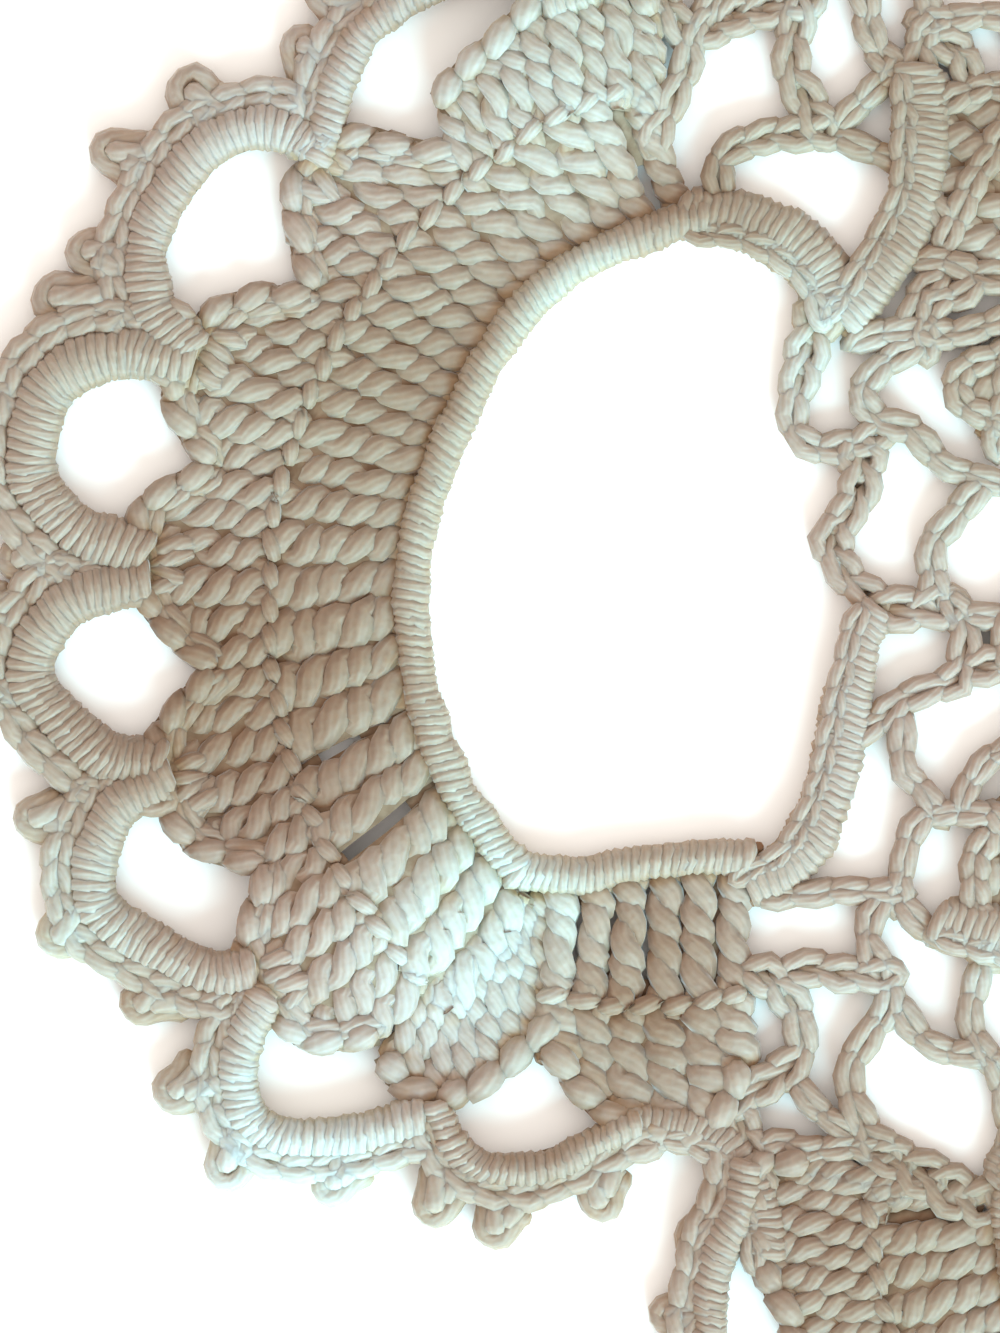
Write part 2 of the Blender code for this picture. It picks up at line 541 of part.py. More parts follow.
def flat_lace(plan):
    """Plan of the lace as a flat mesh whose points know the height of their work."""
    points, triangles, owners = plan.triangles()
    kept = kept_triangles(points, triangles, owners)
    heights = {}
    for index in kept:
        height = max((HEIGHT[plan.shapes[owner][1]] for owner in owners[index]),
                     default=HEIGHT["net"])
        for v in triangles[index]:
            heights[v] = max(heights.get(v, 0.0), height)
    loops = [plainer(loop, points) for loop in boundary_loops(triangles, kept)]
    loops.sort(key=lambda loop: -abs(loop_area([points[v] for v in loop])))
    pieces = sum(loop_area([points[v] for v in loop]) > 0 for loop in loops)
    print("separate pieces:", pieces, " gaps cut through:", len(loops) - pieces)

    spots = [(Vector(points[v]), heights[v]) for loop in loops for v in loop]
    faces, first = [], 0
    for loop in loops:
        face = list(range(first, first + len(loop)))
        faces.append(face if loop is loops[0] else face[::-1])
        first += len(loop)
    spots += [(Vector((x, y)), HEIGHT[kind]) for x, y, kind in relief_points()]
    found = delaunay_2d_cdt([spot[0] for spot in spots], [], faces, 0, JOIN_EPSILON, True)
    corner_places, corner_triangles, corner_spots = found[0], found[2], found[3]
    face_owners = found[5]

    mesh = bmesh.new()
    height_layer = mesh.verts.layers.float.new("height")
    corners = []
    for place, spot_ids in zip(corner_places, corner_spots):
        corner = mesh.verts.new((place.x, place.y, 0.0))
        corner[height_layer] = max((spots[i][1] for i in spot_ids), default=HEIGHT["row"])
        corners.append(corner)
    for triangle, owner in zip(corner_triangles, face_owners):
        if list(owner) == [0]:
            mesh.faces.new([corners[v] for v in triangle])
    loose = [vert for vert in mesh.verts if not vert.link_faces]
    bmesh.ops.delete(mesh, geom=loose, context="VERTS")
    mesh.normal_update()
    return mesh


def thicken(mesh):
    """Lift the underside, raise a copy of it as the top and join them round every edge."""
    height_layer = mesh.verts.layers.float["height"]
    bmesh.ops.reverse_faces(mesh, faces=mesh.faces)
    top = bmesh.ops.extrude_face_region(mesh, geom=list(mesh.faces))
    raised = {item for item in top["geom"] if isinstance(item, bmesh.types.BMVert)}
    for vert in mesh.verts:
        place = Vector(vert.co[:2])
        height = puff_height(place)
        if vert in raised:
            height += vert[height_layer]
        place = pulled(place)
        vert.co = Vector((place.x, place.y, height)) * MM
    bmesh.ops.recalc_face_normals(mesh, faces=mesh.faces)


def cotton_material():
    material = bpy.data.materials.new("cream_cotton")
    material.use_nodes = True
    shader = material.node_tree.nodes["Principled BSDF"]
    shader.inputs["Base Color"].default_value = (0.62, 0.50, 0.36, 1.0)
    shader.inputs["Roughness"].default_value = 0.9
    shader.inputs["Metallic"].default_value = 0.0
    return material


def build():
    for item in list(bpy.data.objects):
        bpy.data.objects.remove(item, do_unlink=True)
    plan = Plan()
    add_wheel(plan)
    for fan in range(FAN_COUNT):
        add_fan(plan, fan * FAN_TURN)
        add_net(plan, fan)
    lace = flat_lace(plan)
    thicken(lace)
    mesh = bpy.data.meshes.new(NAME)
    lace.to_mesh(mesh)
    lace.free()
    mesh.materials.append(cotton_material())
    doily = bpy.data.objects.new(NAME, mesh)
    collection = bpy.data.collections.new(NAME)
    bpy.context.scene.collection.children.link(collection)
    collection.objects.link(doily)
    mesh.calc_loop_triangles()
    print("triangles:", len(mesh.loop_triangles))


build()
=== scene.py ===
# %% [markdown]
# # A crocheted doily, strand by strand
#
# The real thing is one long cotton yarn, looped with a hook into a wheel, a chain net and five
# scalloped fans. A flat mesh with a crochet picture on it would look right only from far away:
# here every stitch is a strand of yarn of its own, laid where the real yarn runs.
#
# The lesson goes from the frame and the light to the yarn, then stitch by stitch, and last to
# the finish of the cotton.

# %% Load the frame
import math
import random

import bmesh
import bpy
import numpy as np
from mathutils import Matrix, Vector, noise


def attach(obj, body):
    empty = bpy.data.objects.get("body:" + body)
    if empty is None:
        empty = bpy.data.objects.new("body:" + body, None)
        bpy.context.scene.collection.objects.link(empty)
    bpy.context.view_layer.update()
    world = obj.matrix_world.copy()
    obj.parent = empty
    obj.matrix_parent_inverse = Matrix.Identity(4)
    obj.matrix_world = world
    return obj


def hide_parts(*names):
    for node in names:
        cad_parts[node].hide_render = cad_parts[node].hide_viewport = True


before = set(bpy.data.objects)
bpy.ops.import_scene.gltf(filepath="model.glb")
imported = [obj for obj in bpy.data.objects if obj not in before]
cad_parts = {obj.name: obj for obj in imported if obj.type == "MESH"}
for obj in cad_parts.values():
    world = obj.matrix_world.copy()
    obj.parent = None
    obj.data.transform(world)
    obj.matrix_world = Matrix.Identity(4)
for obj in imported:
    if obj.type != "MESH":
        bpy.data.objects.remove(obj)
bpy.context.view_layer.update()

MM = 0.001

# %% [markdown]
# ## The camera
#
# A doily is looked at from above, lying on a table. The camera hangs straight over the first fan
# and takes in a third of the doily's width, so the stitches can be read. A long lens keeps both
# ends of the picture at one scale; a wide one would lean the thick edges outwards.

# %% Camera over the first fan
VIEW_CENTRE = (-101.1, -18.65)     # mm, from the doily's centre
VIEW_HEIGHT = 133.3                # mm of doily from top to bottom of the picture
CAMERA_LIFT = 620.0                # mm over the table
SENSOR = 24.0                      # mm

lens = bpy.data.cameras.new("table_camera")
lens.sensor_fit = "VERTICAL"
lens.sensor_height = SENSOR
lens.lens = SENSOR * CAMERA_LIFT / VIEW_HEIGHT
lens.clip_start = 0.01
camera = bpy.data.objects.new("table_camera", lens)
camera.location = (VIEW_CENTRE[0] * MM, VIEW_CENTRE[1] * MM, CAMERA_LIFT * MM)
bpy.context.scene.collection.objects.link(camera)
bpy.context.scene.camera = camera
print("lens, mm:", round(lens.lens, 1))

# %% [markdown]
# ## Table and light
#
# Cotton shows its stitches only when some of the light comes from one side, so a broad cool
# window stands low in front of the doily. A sun would do that too, but with hard shadows between
# the strands. A bright, slightly warm room fills the rest, and the plain pale table returns light
# from below, which keeps the gaps of the net clean.

# %% Table
TABLE_SIZE = 3.0                   # metres
TABLE_DROP = 0.0003                # metres; a few strands dip under the doily's own level
TABLE_WHITE = (0.90, 0.90, 0.90)
TABLE_ROUGHNESS = 0.9

table_mesh = bpy.data.meshes.new("table")
table = bpy.data.objects.new("table", table_mesh)
half = TABLE_SIZE / 2
table_mesh.from_pydata([(x * half, y * half, -TABLE_DROP)
                        for x, y in ((-1, -1), (1, -1), (1, 1), (-1, 1))], [], [(0, 1, 2, 3)])
bpy.context.scene.collection.objects.link(table)
table_paint = bpy.data.materials.new("table_white")
table_paint.use_nodes = True
table_shader = table_paint.node_tree.nodes["Principled BSDF"]
table_shader.inputs["Base Color"].default_value = (*TABLE_WHITE, 1.0)
table_shader.inputs["Roughness"].default_value = TABLE_ROUGHNESS
table_mesh.materials.append(table_paint)
print("table, metres:", TABLE_SIZE, "wide,", TABLE_DROP, "under the doily")

# %% Window and room light
WINDOW = {"place": (0.55, -1.25, 0.68), "size": 1.10, "watts": 66.0, "colour": (0.46, 0.88, 1.0)}
ROOM_COLOUR = (1.0, 0.93, 0.86)
ROOM_STRENGTH = 1.41

window = bpy.data.lights.new("window", "AREA")
window.size = WINDOW["size"]
window.energy = WINDOW["watts"]
window.color = WINDOW["colour"]
window_object = bpy.data.objects.new("window", window)
window_object.location = WINDOW["place"]
aim = Vector((VIEW_CENTRE[0] * MM, VIEW_CENTRE[1] * MM, 0.0)) - Vector(WINDOW["place"])
window_object.rotation_euler = aim.to_track_quat("-Z", "Y").to_euler()
bpy.context.scene.collection.objects.link(window_object)

room = bpy.data.worlds.new("room")
room.use_nodes = True
room.node_tree.nodes["Background"].inputs["Color"].default_value = (*ROOM_COLOUR, 1.0)
room.node_tree.nodes["Background"].inputs["Strength"].default_value = ROOM_STRENGTH
bpy.context.scene.world = room
bpy.context.scene.view_settings.view_transform = "Standard"
print("window, watts:", WINDOW["watts"], " room:", ROOM_STRENGTH)

# %% [markdown]
# ## Sizes of the pattern
#
# The pattern is drawn in millimetres on the flat doily, with its centre at 0, 0. Five fans repeat
# round the centre, so only the first one is written down and the others are drawn from it, turned.
# These are the sizes that the solid doily has too: the yarn has to fill the same space.

# %% Sizes of a fan
FAN_COUNT = 5
FAN_TURN = 360.0 / FAN_COUNT
FAN_EYE = (-69.9, -12.2)           # middle of the first fan's open eye
EYE_RADIUS = 38.6
RIM_WIDTH = 3.4
ROW_ONE_RADIUS = 54.7              # where the first row of trebles ends
FIRST_STATION = 109.7              # angle at the eye of the fan's first rib, degrees
STATION_STEP = 9.62                # half a petal
STATION_COUNT = 13
NOTCH_RADIUS = 60.8
SHOULDER_RADIUS = 65.3
TIP_RADIUS = 68.0
SHOULDER_SHIFT = 3.6               # degrees from a notch to the petal's shoulder
TIP_SHIFT = 3.0                    # degrees from a petal's middle to the side of its tip


def polar(radius, degrees, centre=(0.0, 0.0)):
    angle = math.radians(degrees)
    return (centre[0] + radius * math.cos(angle), centre[1] + radius * math.sin(angle))


def turned(rows, degrees):
    """Rows of x, y and further columns, turned about the doily's centre."""
    rows = np.array(rows, float)
    c, s = math.cos(math.radians(degrees)), math.sin(math.radians(degrees))
    x, y = rows[:, 0].copy(), rows[:, 1].copy()
    rows[:, 0], rows[:, 1] = x * c - y * s, x * s + y * c
    return rows


print("fans:", FAN_COUNT, " width of a petal, degrees:", 2 * STATION_STEP)

# %% [markdown]
# ## How the doily lies
#
# A doily that has been washed and put down isn't a disc: some petals puff up from the table, and
# hand work drifts a little out of round. Both are done last, to every point of every strand, so
# that the stitches can be worked out on a flat plan. The same puffs and the same drift are in the
# solid, and a slow noise adds the unevenness of single stitches. Blender's noise starts from the
# clock, so it is given a fixed seed, and the doily comes out the same each time.

# %% Puffs
PUFFS = [
    (0, 116.0, 58.0, 4.2, 17.0),
    (0, 214.0, 56.0, 3.6, 17.0),
    (1, 158.0, 58.0, 3.0, 16.0),
    (1, 240.0, 52.0, 3.4, 16.0),
    (2, 126.0, 58.0, 3.6, 17.0),
    (2, 196.0, 58.0, 2.6, 15.0),
    (3, 176.0, 58.0, 3.4, 17.0),
    (3, 116.0, 58.0, 3.8, 16.0),
    (4, 148.0, 58.0, 2.8, 16.0),
    (4, 222.0, 56.0, 3.6, 17.0),
]                                  # fan, angle and radius from its eye, lift, reach
PUFF_CENTRES = [turned([polar(radius, angle, FAN_EYE)], fan * FAN_TURN)[0]
                for fan, angle, radius, _lift, _reach in PUFFS]


def puff_height(places):
    """Height of the underside over the table at each place."""
    height = np.zeros(len(places))
    for centre, (_fan, _angle, _radius, lift, reach) in zip(PUFF_CENTRES, PUFFS):
        share = np.minimum(np.linalg.norm(places - centre, axis=1) / reach, 1.0)
        height = np.maximum(height, lift * (1.0 - share ** 2) ** 2)
    return height


print("highest puff, mm:", max(puff[3] for puff in PUFFS))

# %% Drift
# How far, where it starts, over how many mm it grows, and the radius at which it is full.
PULL, PULL_START, PULL_FADE, PULL_RADIUS = 1.4, -46.0, 60.0, 150.0
SWELL_WAVES, SWELL_PHASE = 3.0, 0.6
SWAY_WAVES, SWAY_PHASE = 2.0, -1.1


def pulled(places):
    """Places of the finished doily, a little out of round away from the first fan."""
    x, y = places[:, 0], places[:, 1]
    length = np.hypot(x, y)
    stray = PULL * np.clip((x - PULL_START) / PULL_FADE, 0.0, 1.0) * length / PULL_RADIUS
    angle = np.arctan2(y, x)
    swell = stray * np.sin(SWELL_WAVES * angle + SWELL_PHASE)
    sway = stray * np.sin(SWAY_WAVES * angle + SWAY_PHASE)
    out = places / np.maximum(length, 1.0)[:, None]
    return places + out * swell[:, None] + np.column_stack((-out[:, 1], out[:, 0])) * sway[:, None]


far_edge = np.array([polar(PULL_RADIUS, 0.0)])
print("drift at the far edge, mm:", (pulled(far_edge) - far_edge).round(2)[0])

# %% Unevenness
# Length of the wave, sideways, up and down, mm.
WANDER = [(9.0, 0.24, 0.30), (3.1, 0.36, 0.30), (1.3, 0.14, 0.12)]
LOWEST = 0.85                      # mm over the table, for the middle of a strand
WANDER_SEED = 4
noise.seed_set(WANDER_SEED)


def wandered(rows):
    """Rows of x, y, z moved by the slow unevenness of hand work."""
    moved = rows.copy()
    for length, sideways, upright in WANDER:
        shift = np.array([noise.noise_vector((x / length, y / length, 0.0))
                          for x, y, _z in rows])
        moved += shift * (sideways, sideways, upright)
    moved[:, 2] = np.maximum(moved[:, 2], LOWEST)
    return moved


def laid(rows):
    """Flat pattern, mm, to the doily as it lies, metres."""
    rows = wandered(np.asarray(rows, float))
    places = rows[:, :2]
    lifted = rows[:, 2] + puff_height(places)
    return np.column_stack((pulled(places), lifted)) * MM


print("a strand strays sideways by up to, mm:", round(sum(row[1] for row in WANDER), 2))

# %% [markdown]
# ## Pale and brown yarn
#
# Cotton that has been in use for years isn't one colour. Washing and sun bleach some of it, and
# tea and dust brown the rest, in soft patches about as wide as a petal. The same patches also stand
# for light: the pale ones carry a painted cool highlight and the brown ones painted shade. An image
# could be painted for that, but a short table of places is easier to change: every strand reads
# from it how pale it is, so the colour goes over from stitch to stitch without an edge.

# %% Patches
# x, y, reach, mm, and amount from -1, tea brown and painted shade, to 1, bleached and painted
# highlight. The first fan's come first.
PATCHES = [
    (-97.0, 41.0, 20.0, 0.65), (-122.0, 36.0, 16.0, 0.35), (-142.0, 14.0, 14.0, -0.2),
    (-104.0, -46.0, 17.0, 1.15), (-122.0, -66.0, 17.0, 1.25), (-146.0, -42.0, 14.0, 0.5),
    (-126.0, -20.0, 28.0, -1.1), (-113.0, 10.0, 22.0, -0.7), (-64.0, -76.0, 24.0, -0.8),
    (-56.0, 30.0, 18.0, -0.7), (-82.0, 27.0, 12.0, -0.9), (-70.0, 13.0, 13.0, 0.6),
    (-66.0, -24.0, 12.0, 0.1), (-86.0, -51.0, 14.0, -1.1), (-56.0, -4.0, 14.0, 0.2),
    (-98.0, -68.0, 10.0, -0.3),
    (-20.0, -118.0, 24.0, 0.7), (30.0, -100.0, 26.0, -0.6), (96.0, -66.0, 26.0, 0.6),
    (118.0, -10.0, 24.0, -0.6), (104.0, 54.0, 24.0, 0.7), (40.0, 112.0, 26.0, -0.6),
    (-24.0, 116.0, 24.0, 0.6), (6.0, 62.0, 22.0, 0.35), (0.0, 0.0, 20.0, -0.3),
]
EYES = [turned([FAN_EYE], fan * FAN_TURN)[0] for fan in range(FAN_COUNT)]
# A painted highlight along the rim of each eye: amount, and reach to each side in mm.
RIM_HIGHLIGHT, RIM_HIGHLIGHT_REACH = 0.40, 3.2


def patch_amount(places):
    """How much paler or browner the yarn is at each place: stains and bleaching, with painted
    highlight and painted shade.
    """
    amount = np.zeros(len(places))
    # Painted highlight along the rim of each eye.
    for eye in EYES:
        off_rim = np.linalg.norm(places - eye, axis=1) - EYE_RADIUS - RIM_WIDTH / 2
        amount += RIM_HIGHLIGHT * (1.0 - np.minimum(np.abs(off_rim) / RIM_HIGHLIGHT_REACH, 1.0) ** 2) ** 2
    for x, y, reach, strength in PATCHES:
        share = np.minimum(np.hypot(places[:, 0] - x, places[:, 1] - y) / reach, 1.0)
        amount += strength * (1.0 - share ** 2) ** 2
    return np.clip(amount, -1.0, 1.0)


def paleness(rows):
    """The same as an attribute: 0 is tea brown with painted shade, 0.5 even cream and 1 bleached
    with painted highlight.
    """
    return patch_amount(rows[:, :2]) / 2 + 0.5


print("patches:", len(PATCHES), " rims:", len(EYES))

# %% [markdown]
# ## A line to crochet along
#
# Every stitch is described beside a line: so far along it, so far to the left, so high. The line
# itself is a smooth curve through a few places. A Bezier curve object could give it, but its
# points aren't evenly spaced; a Catmull-Rom curve read off by length is, and it passes through
# the places that were written down.

# %% Smooth lines
LINE_STEPS = 14                    # points from one written place to the next


class Line:
    """A smooth way over the flat doily, read by the distance along it in mm."""

    def __init__(self, stations, shift=0.0):
        rows = np.array([tuple(station)[:3] if len(station) > 2 else (*station, 0.0)
                         for station in stations], float)
        first, last = 2 * rows[0] - rows[1], 2 * rows[-1] - rows[-2]
        knots = np.vstack((first, rows, last))
        t = np.linspace(0.0, 1.0, LINE_STEPS, endpoint=False)[:, None]
        parts = []
        for i in range(1, len(knots) - 2):
            a, b, c, d = knots[i - 1:i + 3]
            parts.append(0.5 * (2 * b + (c - a) * t + (2 * a - 5 * b + 4 * c - d) * t ** 2
                                + (3 * b - a - 3 * c + d) * t ** 3))
        path = np.vstack((*parts, rows[-1:]))
        self.place, self.width = path[:, :2], path[:, 2]
        if shift:
            self.place = self.place + self.sides() * shift
        steps = np.linalg.norm(np.diff(self.place, axis=0), axis=1)
        self.along = np.concatenate(([0.0], np.cumsum(steps)))
        self.length = self.along[-1]
        self.side = self.sides()

    def sides(self):
        """Unit vectors to the left of the line."""
        run = np.gradient(self.place, axis=0)
        run /= np.maximum(np.linalg.norm(run, axis=1), 1e-9)[:, None]
        return np.column_stack((-run[:, 1], run[:, 0]))

    def read(self, values, s):
        return np.interp(s, self.along, values)

    def at(self, s):
        """Place and unit vector to the left at each distance, going straight on past the ends."""
        s = np.asarray(s, float)
        place = np.column_stack([self.read(self.place[:, i], s) for i in (0, 1)])
        side = np.column_stack([self.read(self.side[:, i], s) for i in (0, 1)])
        side /= np.linalg.norm(side, axis=1)[:, None]
        beyond = s - np.clip(s, 0.0, self.length)
        run = np.column_stack((side[:, 1], -side[:, 0]))
        return place + run * beyond[:, None], side

    def points(self, s, left, rise):
        """Rows of x, y, z beside the line."""
        place, side = self.at(s)
        spot = place + side * np.asarray(left, float)[:, None]
        return np.column_stack((spot, np.broadcast_to(rise, (len(spot),))))


print("a bend through three places, mm:", round(Line([(0, 0), (5, 2), (10, 0)]).length, 1))

# %% [markdown]
# ## The yarn basket
#
# A basket collects the strands of one piece and makes one curve object of them, with a spline for
# each strand and a round bevel, which Blender turns into tubes. The Skin modifier or a mesh made
# ring by ring could do it too, but splines keep a strand down to a list of places. Six sides are
# enough for a strand a millimetre thick. No two strands are quite as thick as each other.

# %% Basket of strands
END_TAPER = 0.55                   # the end of a strand is this share of its radius
YARN_SPREAD = 0.06                 # how unlike two strands are in thickness
TUBE_ROUNDING = 1                  # of the bevel
TUBE_SIDES = 4 + 2 * TUBE_ROUNDING

chance = random.Random(20)


class Basket:
    """Strands of one piece, as rows of x, y, z in flat millimetres."""

    def __init__(self, name):
        self.name = name
        self.strands, self.flat = [], []

    def add(self, rows, radius, turn=0.0, swell=1.0, flat=1.0):
        """One strand; swell is how much thicker it is at each point, flat how low its section."""
        rows = turned(rows, turn) if turn else np.asarray(rows, float)
        radius = radius * (1.0 + chance.uniform(-YARN_SPREAD, YARN_SPREAD))
        self.strands.append((rows, np.full(len(rows), radius) * swell))
        self.flat.append(np.full(len(rows), flat))

    def curve(self):
        curve = bpy.data.curves.new(self.name, "CURVE")
        curve.dimensions = "3D"
        curve.bevel_depth = MM
        curve.bevel_resolution = TUBE_ROUNDING
        curve.use_fill_caps = True
        for rows, thick in self.strands:
            spline = curve.splines.new("POLY")
            spline.points.add(len(rows) - 1)
            places = np.column_stack((laid(rows), np.ones(len(rows))))
            spline.points.foreach_set("co", places.ravel())
            radii = thick.copy()
            radii[[0, -1]] *= END_TAPER
            spline.points.foreach_set("radius", radii)
            spline.use_smooth = True
        return curve

    def per_vertex(self, values):
        """One value for each point of each strand, to one for each vertex of the tubes.

        The mesh holds the flat ends of all strands first and then the rings, strand by strand.
        """
        caps = np.zeros(2 * TUBE_SIDES * len(self.strands))
        return np.concatenate((caps, np.repeat(np.concatenate(values), TUBE_SIDES)))


print("sides of a strand:", TUBE_SIDES)

# %% [markdown]
# ## What the tubes carry
#
# The finish of the cotton has to know three things about each point of a strand. How far along the
# strand it lies goes into the UV map, so that the twist has the same size everywhere. How deep it
# lies in a crevice is measured on a fine grid: the highest yarn in each cell and its neighbours is
# looked up, and the point's depth under it is kept as an attribute, as is how pale the yarn is.
# The depth sets painted shade: light could find the crevices by itself, but the shade there is
# painted into the colour as brown, not only dark.

# %% Oval sections and lengths
LENGTH_SHIFT = 50.0                # mm; the twist of each strand starts somewhere in it


def vertex_places(mesh):
    places = np.zeros(len(mesh.vertices) * 3)
    mesh.vertices.foreach_get("co", places)
    return places


def write(mesh, name, values):
    mesh.attributes.new(name, "FLOAT", "POINT").data.foreach_set("value", values)


def flatten(basket, mesh):
    """Round sections become oval, lower than they are wide."""
    places = vertex_places(mesh)
    middle = basket.per_vertex([laid(rows)[:, 2] for rows, _thick in basket.strands])
    flat = basket.per_vertex(basket.flat)
    places[2::3] = np.where(flat > 0.0, middle + (places[2::3] - middle) * flat, places[2::3])
    mesh.vertices.foreach_set("co", places)
    mesh.update()


def write_lengths(basket, mesh):
    """U of the UV map becomes mm along the strand."""
    along = []
    for rows, _thick in basket.strands:
        steps = np.linalg.norm(np.diff(rows, axis=0), axis=1)
        start = chance.uniform(0.0, LENGTH_SHIFT)
        along.append(np.concatenate(([0.0], np.cumsum(steps))) + start)
    layer = mesh.uv_layers[0].data
    uv = np.zeros(len(layer) * 2, np.float32)
    layer.foreach_get("uv", uv)
    corner = np.zeros(len(layer), np.int32)
    mesh.loops.foreach_get("vertex_index", corner)
    uv[0::2] = basket.per_vertex(along)[corner]
    layer.foreach_set("uv", uv)


print("the twist of a strand starts anywhere in", LENGTH_SHIFT, "mm")

# %% Crevices
CELL = 0.5                         # mm; grid on which the top of the yarn is looked up
CELL_REACH = 2                     # cells to each side that count as near
CREVICE = 1.45                     # mm under the yarn beside it at which a crevice is deepest


def write_crevices(mesh):
    """How far each vertex lies under the highest yarn near it: 0 on top, 1 in a crevice."""
    places = vertex_places(mesh).reshape(-1, 3) / MM
    column, row = ((places[:, i] - places[:, i].min()) // CELL for i in (0, 1))
    column, row = column.astype(int) + CELL_REACH, row.astype(int) + CELL_REACH
    tops = np.full((column.max() + CELL_REACH + 1, row.max() + CELL_REACH + 1), -1.0)
    np.maximum.at(tops, (column, row), places[:, 2])
    reach = range(-CELL_REACH, CELL_REACH + 1)
    near = np.maximum.reduce([np.roll(tops, (i, j), (0, 1)) for i in reach for j in reach
                              if abs(i) + abs(j) < 2 * CELL_REACH])
    under = (near[column, row] - places[:, 2]) / CREVICE
    write(mesh, "crevice", np.clip(under, 0.0, 1.0))


print("a crevice is brownest", CREVICE, "mm under the yarn beside it")


# %% From a basket to a mesh
def yarn_mesh(basket):
    """Tubes of all strands, with length, crevices and paleness written on them."""
    holder = bpy.data.objects.new(basket.name, basket.curve())
    bpy.context.scene.collection.objects.link(holder)
    evaluated = holder.evaluated_get(bpy.context.evaluated_depsgraph_get())
    mesh = bpy.data.meshes.new_from_object(evaluated)
    bpy.data.objects.remove(holder)
    flatten(basket, mesh)
    write_lengths(basket, mesh)
    write_crevices(mesh)
    write(mesh, "patch", basket.per_vertex([paleness(rows) for rows, _thick in basket.strands]))
    return mesh


print("each mesh of yarn carries a UV map and the attributes crevice and patch")

# %% [markdown]
# ## The heart of the fabric
#
# Behind the strands on top there is more of the same yarn, pressed flat. From above only brown
# glimpses of it show, between two posts or inside a loop, brown because little light reaches
# there. Thin closed bands under the rows and the bars give those glimpses, and their dark brown is
# painted shade. They are also what can honestly be called the sheet of cloth, as wide as the
# crochet itself, while the strands lie on it.

# %% Bands behind the stitches
BAND_LOW = 0.55                    # mm over the underside
ROW_BAND, BAR_BAND = 0.15, 1.30    # mm over the posts' middle; mm over the underside
BAND_STEP = 2.6                    # mm along a band from one row of corners to the next
BAND_COLUMNS = 5                   # corners across a band between two lines
BAND_SHORT = 0.5                   # mm that a band ends before the yarn over it
BAND_SHARE = 0.55                  # of a bar's width


class Bands:
    """Thin closed bands of one mesh, in flat millimetres."""

    def __init__(self):
        self.corners, self.faces = [], []

    def band(self, grid, high, turn=0.0):
        """A band up to a height over a grid of places, as rows of columns of x, y."""
        rows, columns = grid.shape[:2]
        flat = turned(grid.reshape(-1, 2), turn)
        start, count = len(self.corners), rows * columns
        for height in (BAND_LOW, high):
            self.corners += [(x, y, height) for x, y in flat]

        def at(layer, i, j):
            return start + layer * count + i * columns + j

        for i in range(rows - 1):
            for j in range(columns - 1):
                ring = [(i, j), (i, j + 1), (i + 1, j + 1), (i + 1, j)]
                self.faces.append([at(1, *spot) for spot in ring])
                self.faces.append([at(0, *spot) for spot in reversed(ring)])
        rim = ([(0, j) for j in range(columns)] + [(i, columns - 1) for i in range(1, rows)]
               + [(rows - 1, j) for j in range(columns - 2, -1, -1)]
               + [(i, 0) for i in range(rows - 2, 0, -1)])
        for here, there in zip(rim, rim[1:] + rim[:1]):
            self.faces.append([at(0, *here), at(0, *there), at(1, *there), at(1, *here)])

    def between(self, feet, heads, rise, turn=0.0):
        """A band under a row of posts, from one line to the other."""
        count = max(int(max(feet.length, heads.length) / BAND_STEP), 2) + 1
        shares = np.linspace(0.0, 1.0, count)
        low, high = (line.at(shares * line.length)[0] for line in (feet, heads))
        across = np.linspace(0.0, 1.0, BAND_COLUMNS)
        self.band(np.stack([low * (1 - share) + high * share for share in across], axis=1),
                  rise + ROW_BAND, turn)

    def under(self, line, turn=0.0, half=None, high=BAR_BAND):
        """A band under a line. Without a half width it takes a share of the line's own."""
        short = min(BAND_SHORT, line.length / 4)
        s = np.linspace(short, line.length - short, max(int(line.length / BAND_STEP), 2) + 1)
        place, side = line.at(s)
        reach = np.full(len(s), half) if half else line.read(line.width, s) * BAND_SHARE / 2
        self.band(np.stack([place + side * (reach * part)[:, None] for part in (-1, 0, 1)], axis=1),
                  high, turn)

    def mesh(self):
        mesh = bpy.data.meshes.new("doily_ground")
        mesh.from_pydata(laid(self.corners), [], self.faces)
        write(mesh, "patch", paleness(np.array(self.corners)))
        shaper = bmesh.new()
        shaper.from_mesh(mesh)
        bmesh.ops.recalc_face_normals(shaper, faces=shaper.faces)
        shaper.to_mesh(mesh)
        shaper.free()
        mesh.shade_smooth()
        return mesh


behind = Bands()
print("bands start", BAND_LOW, "mm over the underside")

# %% [markdown]
# ## Chain stitch
#
# A chain is one yarn: each loop comes up through the loop before it, spreads, turns over its end
# and goes back down, and the yarn runs on underneath. From above that is a row of Vs. One loop is
# written as a short table of turning points, in shares of the stitch's length, half width and
# height, and repeated along the line.

# %% Chain stitch
CHAIN_LOOP = np.array([
    (0.06, -0.30, 0.0), (0.34, -0.66, 0.9), (0.70, -1.00, 0.8), (1.04, -0.88, 0.3),
    (1.28, -0.46, -0.2), (1.38, 0.00, -0.4), (1.28, 0.46, -0.2), (1.04, 0.88, 0.3),
    (0.70, 1.00, 0.8), (0.34, 0.66, 0.9), (0.06, 0.30, 0.0), (0.50, 0.00, -1.2),
])                                 # along, to the left, up
CHAIN_LENGTH = 3.6
CHAIN_HEIGHT = 0.45
CHAIN_RISE = 1.35
CHAIN_YARN = 0.95
CHAIN_SPILL = 0.2                  # mm that the loops reach past the line's own width
CHAIN_NARROWEST = 0.6              # half width
CHAIN_HEART = 0.9                  # width of the band behind, as a share of the chain's


